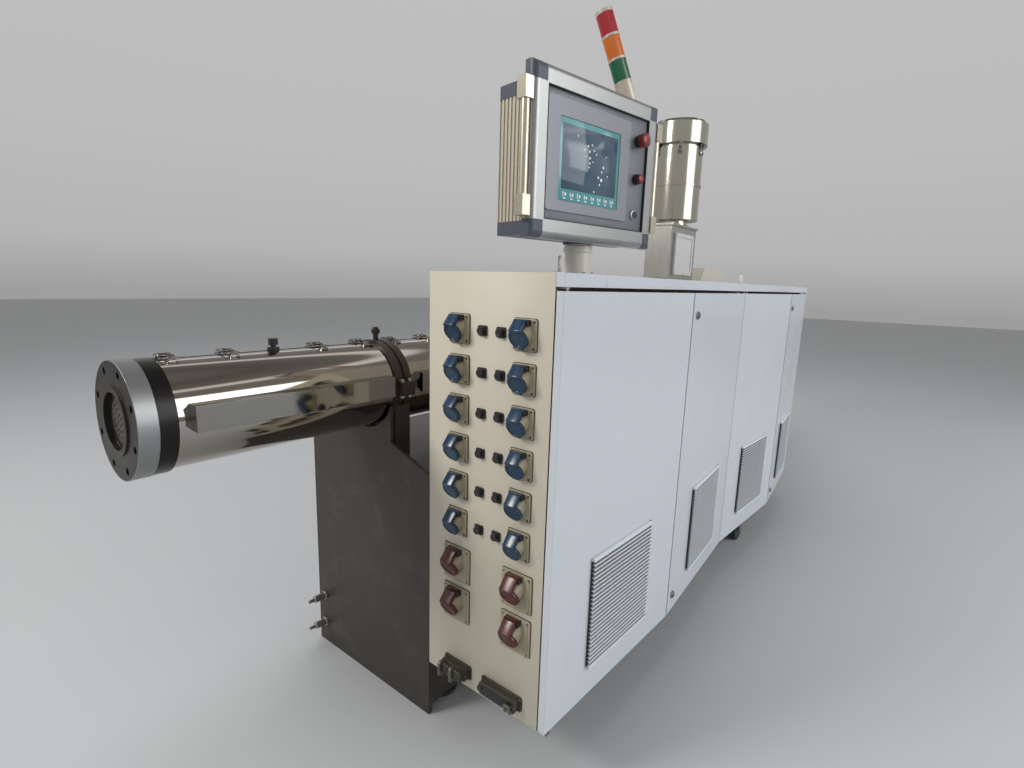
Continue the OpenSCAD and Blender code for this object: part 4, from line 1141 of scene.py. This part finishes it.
def screen_border(bm):
    place = on_face(SCREEN_X, SCREEN_Z - 8)
    add_block(bm, place, (-GLASS_W / 2, -GLASS_H / 2, 3.8), (GLASS_W, GLASS_H, 0.8), 0.2)


def screen_glass(bm):
    place = on_face(SCREEN_X, SCREEN_Z - 8)
    add_block(bm, place, (-GLASS_W / 2 + 11, -GLASS_H / 2 + 30, 4.5),
              (GLASS_W - 22, GLASS_H - 44, 0.6), 0.2)


def screen_marks(bm):
    place = on_face(SCREEN_X, SCREEN_Z)
    for x, y, r in MARKS:
        spot = place @ Matrix.Translation((x * SPREAD_X * MM, y * SPREAD_Y * MM, 5.1 * MM))
        add_turned(bm, spot, [(0, 0.25), (r, 0.25), (r, 0)], 16)
    for i in range(KEYS):
        x = (i - (KEYS - 1) / 2) * KEY_PITCH
        add_block(bm, place, (x - 4, -GLASS_H / 2 - 3, 4.5), (9, 4, 0.5), 0.2)
        add_block(bm, place, (x - 6, -GLASS_H / 2 + 3, 4.5), (4, 12, 0.5), 0.2)
        add_block(bm, place, (x + 1, -GLASS_H / 2 + 5, 4.5), (7, 8, 0.5), 0.2)


piece("face_sheet", "operator_panel", "bezel_grey", face_sheet)
piece("screen_border", "operator_panel", "glow_teal", screen_border)
piece("screen_glass", "operator_panel", "glass_blue", screen_glass)
piece("screen_marks", "operator_panel", "icon_white", screen_marks)

# %% [markdown]
# Beside the screen stand a mushroom stop button, a smaller push button and a key switch. Their
# collars are in the source, and the caps are turned here, with the undercut that makes a mushroom
# button look like one. Dark strips along each profile's inner wall paint the shade where the
# profiles step down to the face plate.

# %% Buttons and recess shade
def mushroom_cap(bm):
    place = on_face(BUTTON_X, 300)
    outline = ((0, 36), (9, 35.4), (16, 33.5), (19.4, 30), (20, 25), (19, 17), (15, 11.5), (9, 11))
    add_turned(bm, place, outline, 40)


def small_cap(bm):
    place = on_face(BUTTON_X, 195)
    add_turned(bm, place, [(0, 24.6), (8, 24.2), (11.6, 22.6), (13.3, 20), (13.3, 16.4)], 32)


def key_switch(bm):
    place = on_face(BUTTON_X, 94)
    outline = ((0, 6.4), (6, 6.4), (6, 8.6), (9.4, 8.6), (10.4, 7.6), (10.4, 5.8), (14.4, 4.4),
               (14.6, 2))
    add_turned(bm, place, outline, 32)
    add_block(bm, place, (-1.5, -5, 6), (3, 10, 2.4), 0.5)


# painted shade: dark strips down the inner wall of each profile, where it steps down to the face
# plate
def recess_shade_lines(bm):
    w, h = PANEL_W - 2 * PROFILE_W, PANEL_H - 2 * PROFILE_W
    face = on_face(0, PANEL_H / 2)
    for sx in (-1, 1):
        add_block(bm, face, (sx * w / 2 - 1.1, -h / 2, 0.0), (2.2, h, 8.25), 0)
    for sy in (-1, 1):
        add_block(bm, face, (-w / 2, sy * h / 2 - 1.1, 0.0), (w, 2.2, 8.25), 0)


piece("stop_cap", "operator_panel", "push_red", mushroom_cap)
piece("push_cap", "operator_panel", "push_red", small_cap)
piece("key_switch", "operator_panel", "satin_profile", key_switch)
piece("profile_recess_shade", "operator_panel", "rubber", recess_shade_lines)

# %% [markdown]
# The neck is screwed to the roof by a ring of socket screws. They stay with the machine when the
# panel swings.

# %% Neck screws
NECK_SCREWS = 6
NECK_SCREW_R = 0.0455
NECK_FLANGE_Z = 1.351


def neck_screws(bm):
    for i in range(NECK_SCREWS):
        a = math.tau * i / NECK_SCREWS
        x, y = NECK[0] + NECK_SCREW_R * math.cos(a), NECK[1] + NECK_SCREW_R * math.sin(a)
        add_turned(bm, placed((x, y, NECK_FLANGE_Z)), socket_screw(4, 4), 20)


piece("neck_screws", "machine", "zinc", neck_screws)

# %% [markdown]
# ## The end

# %% Finish
print("finished")
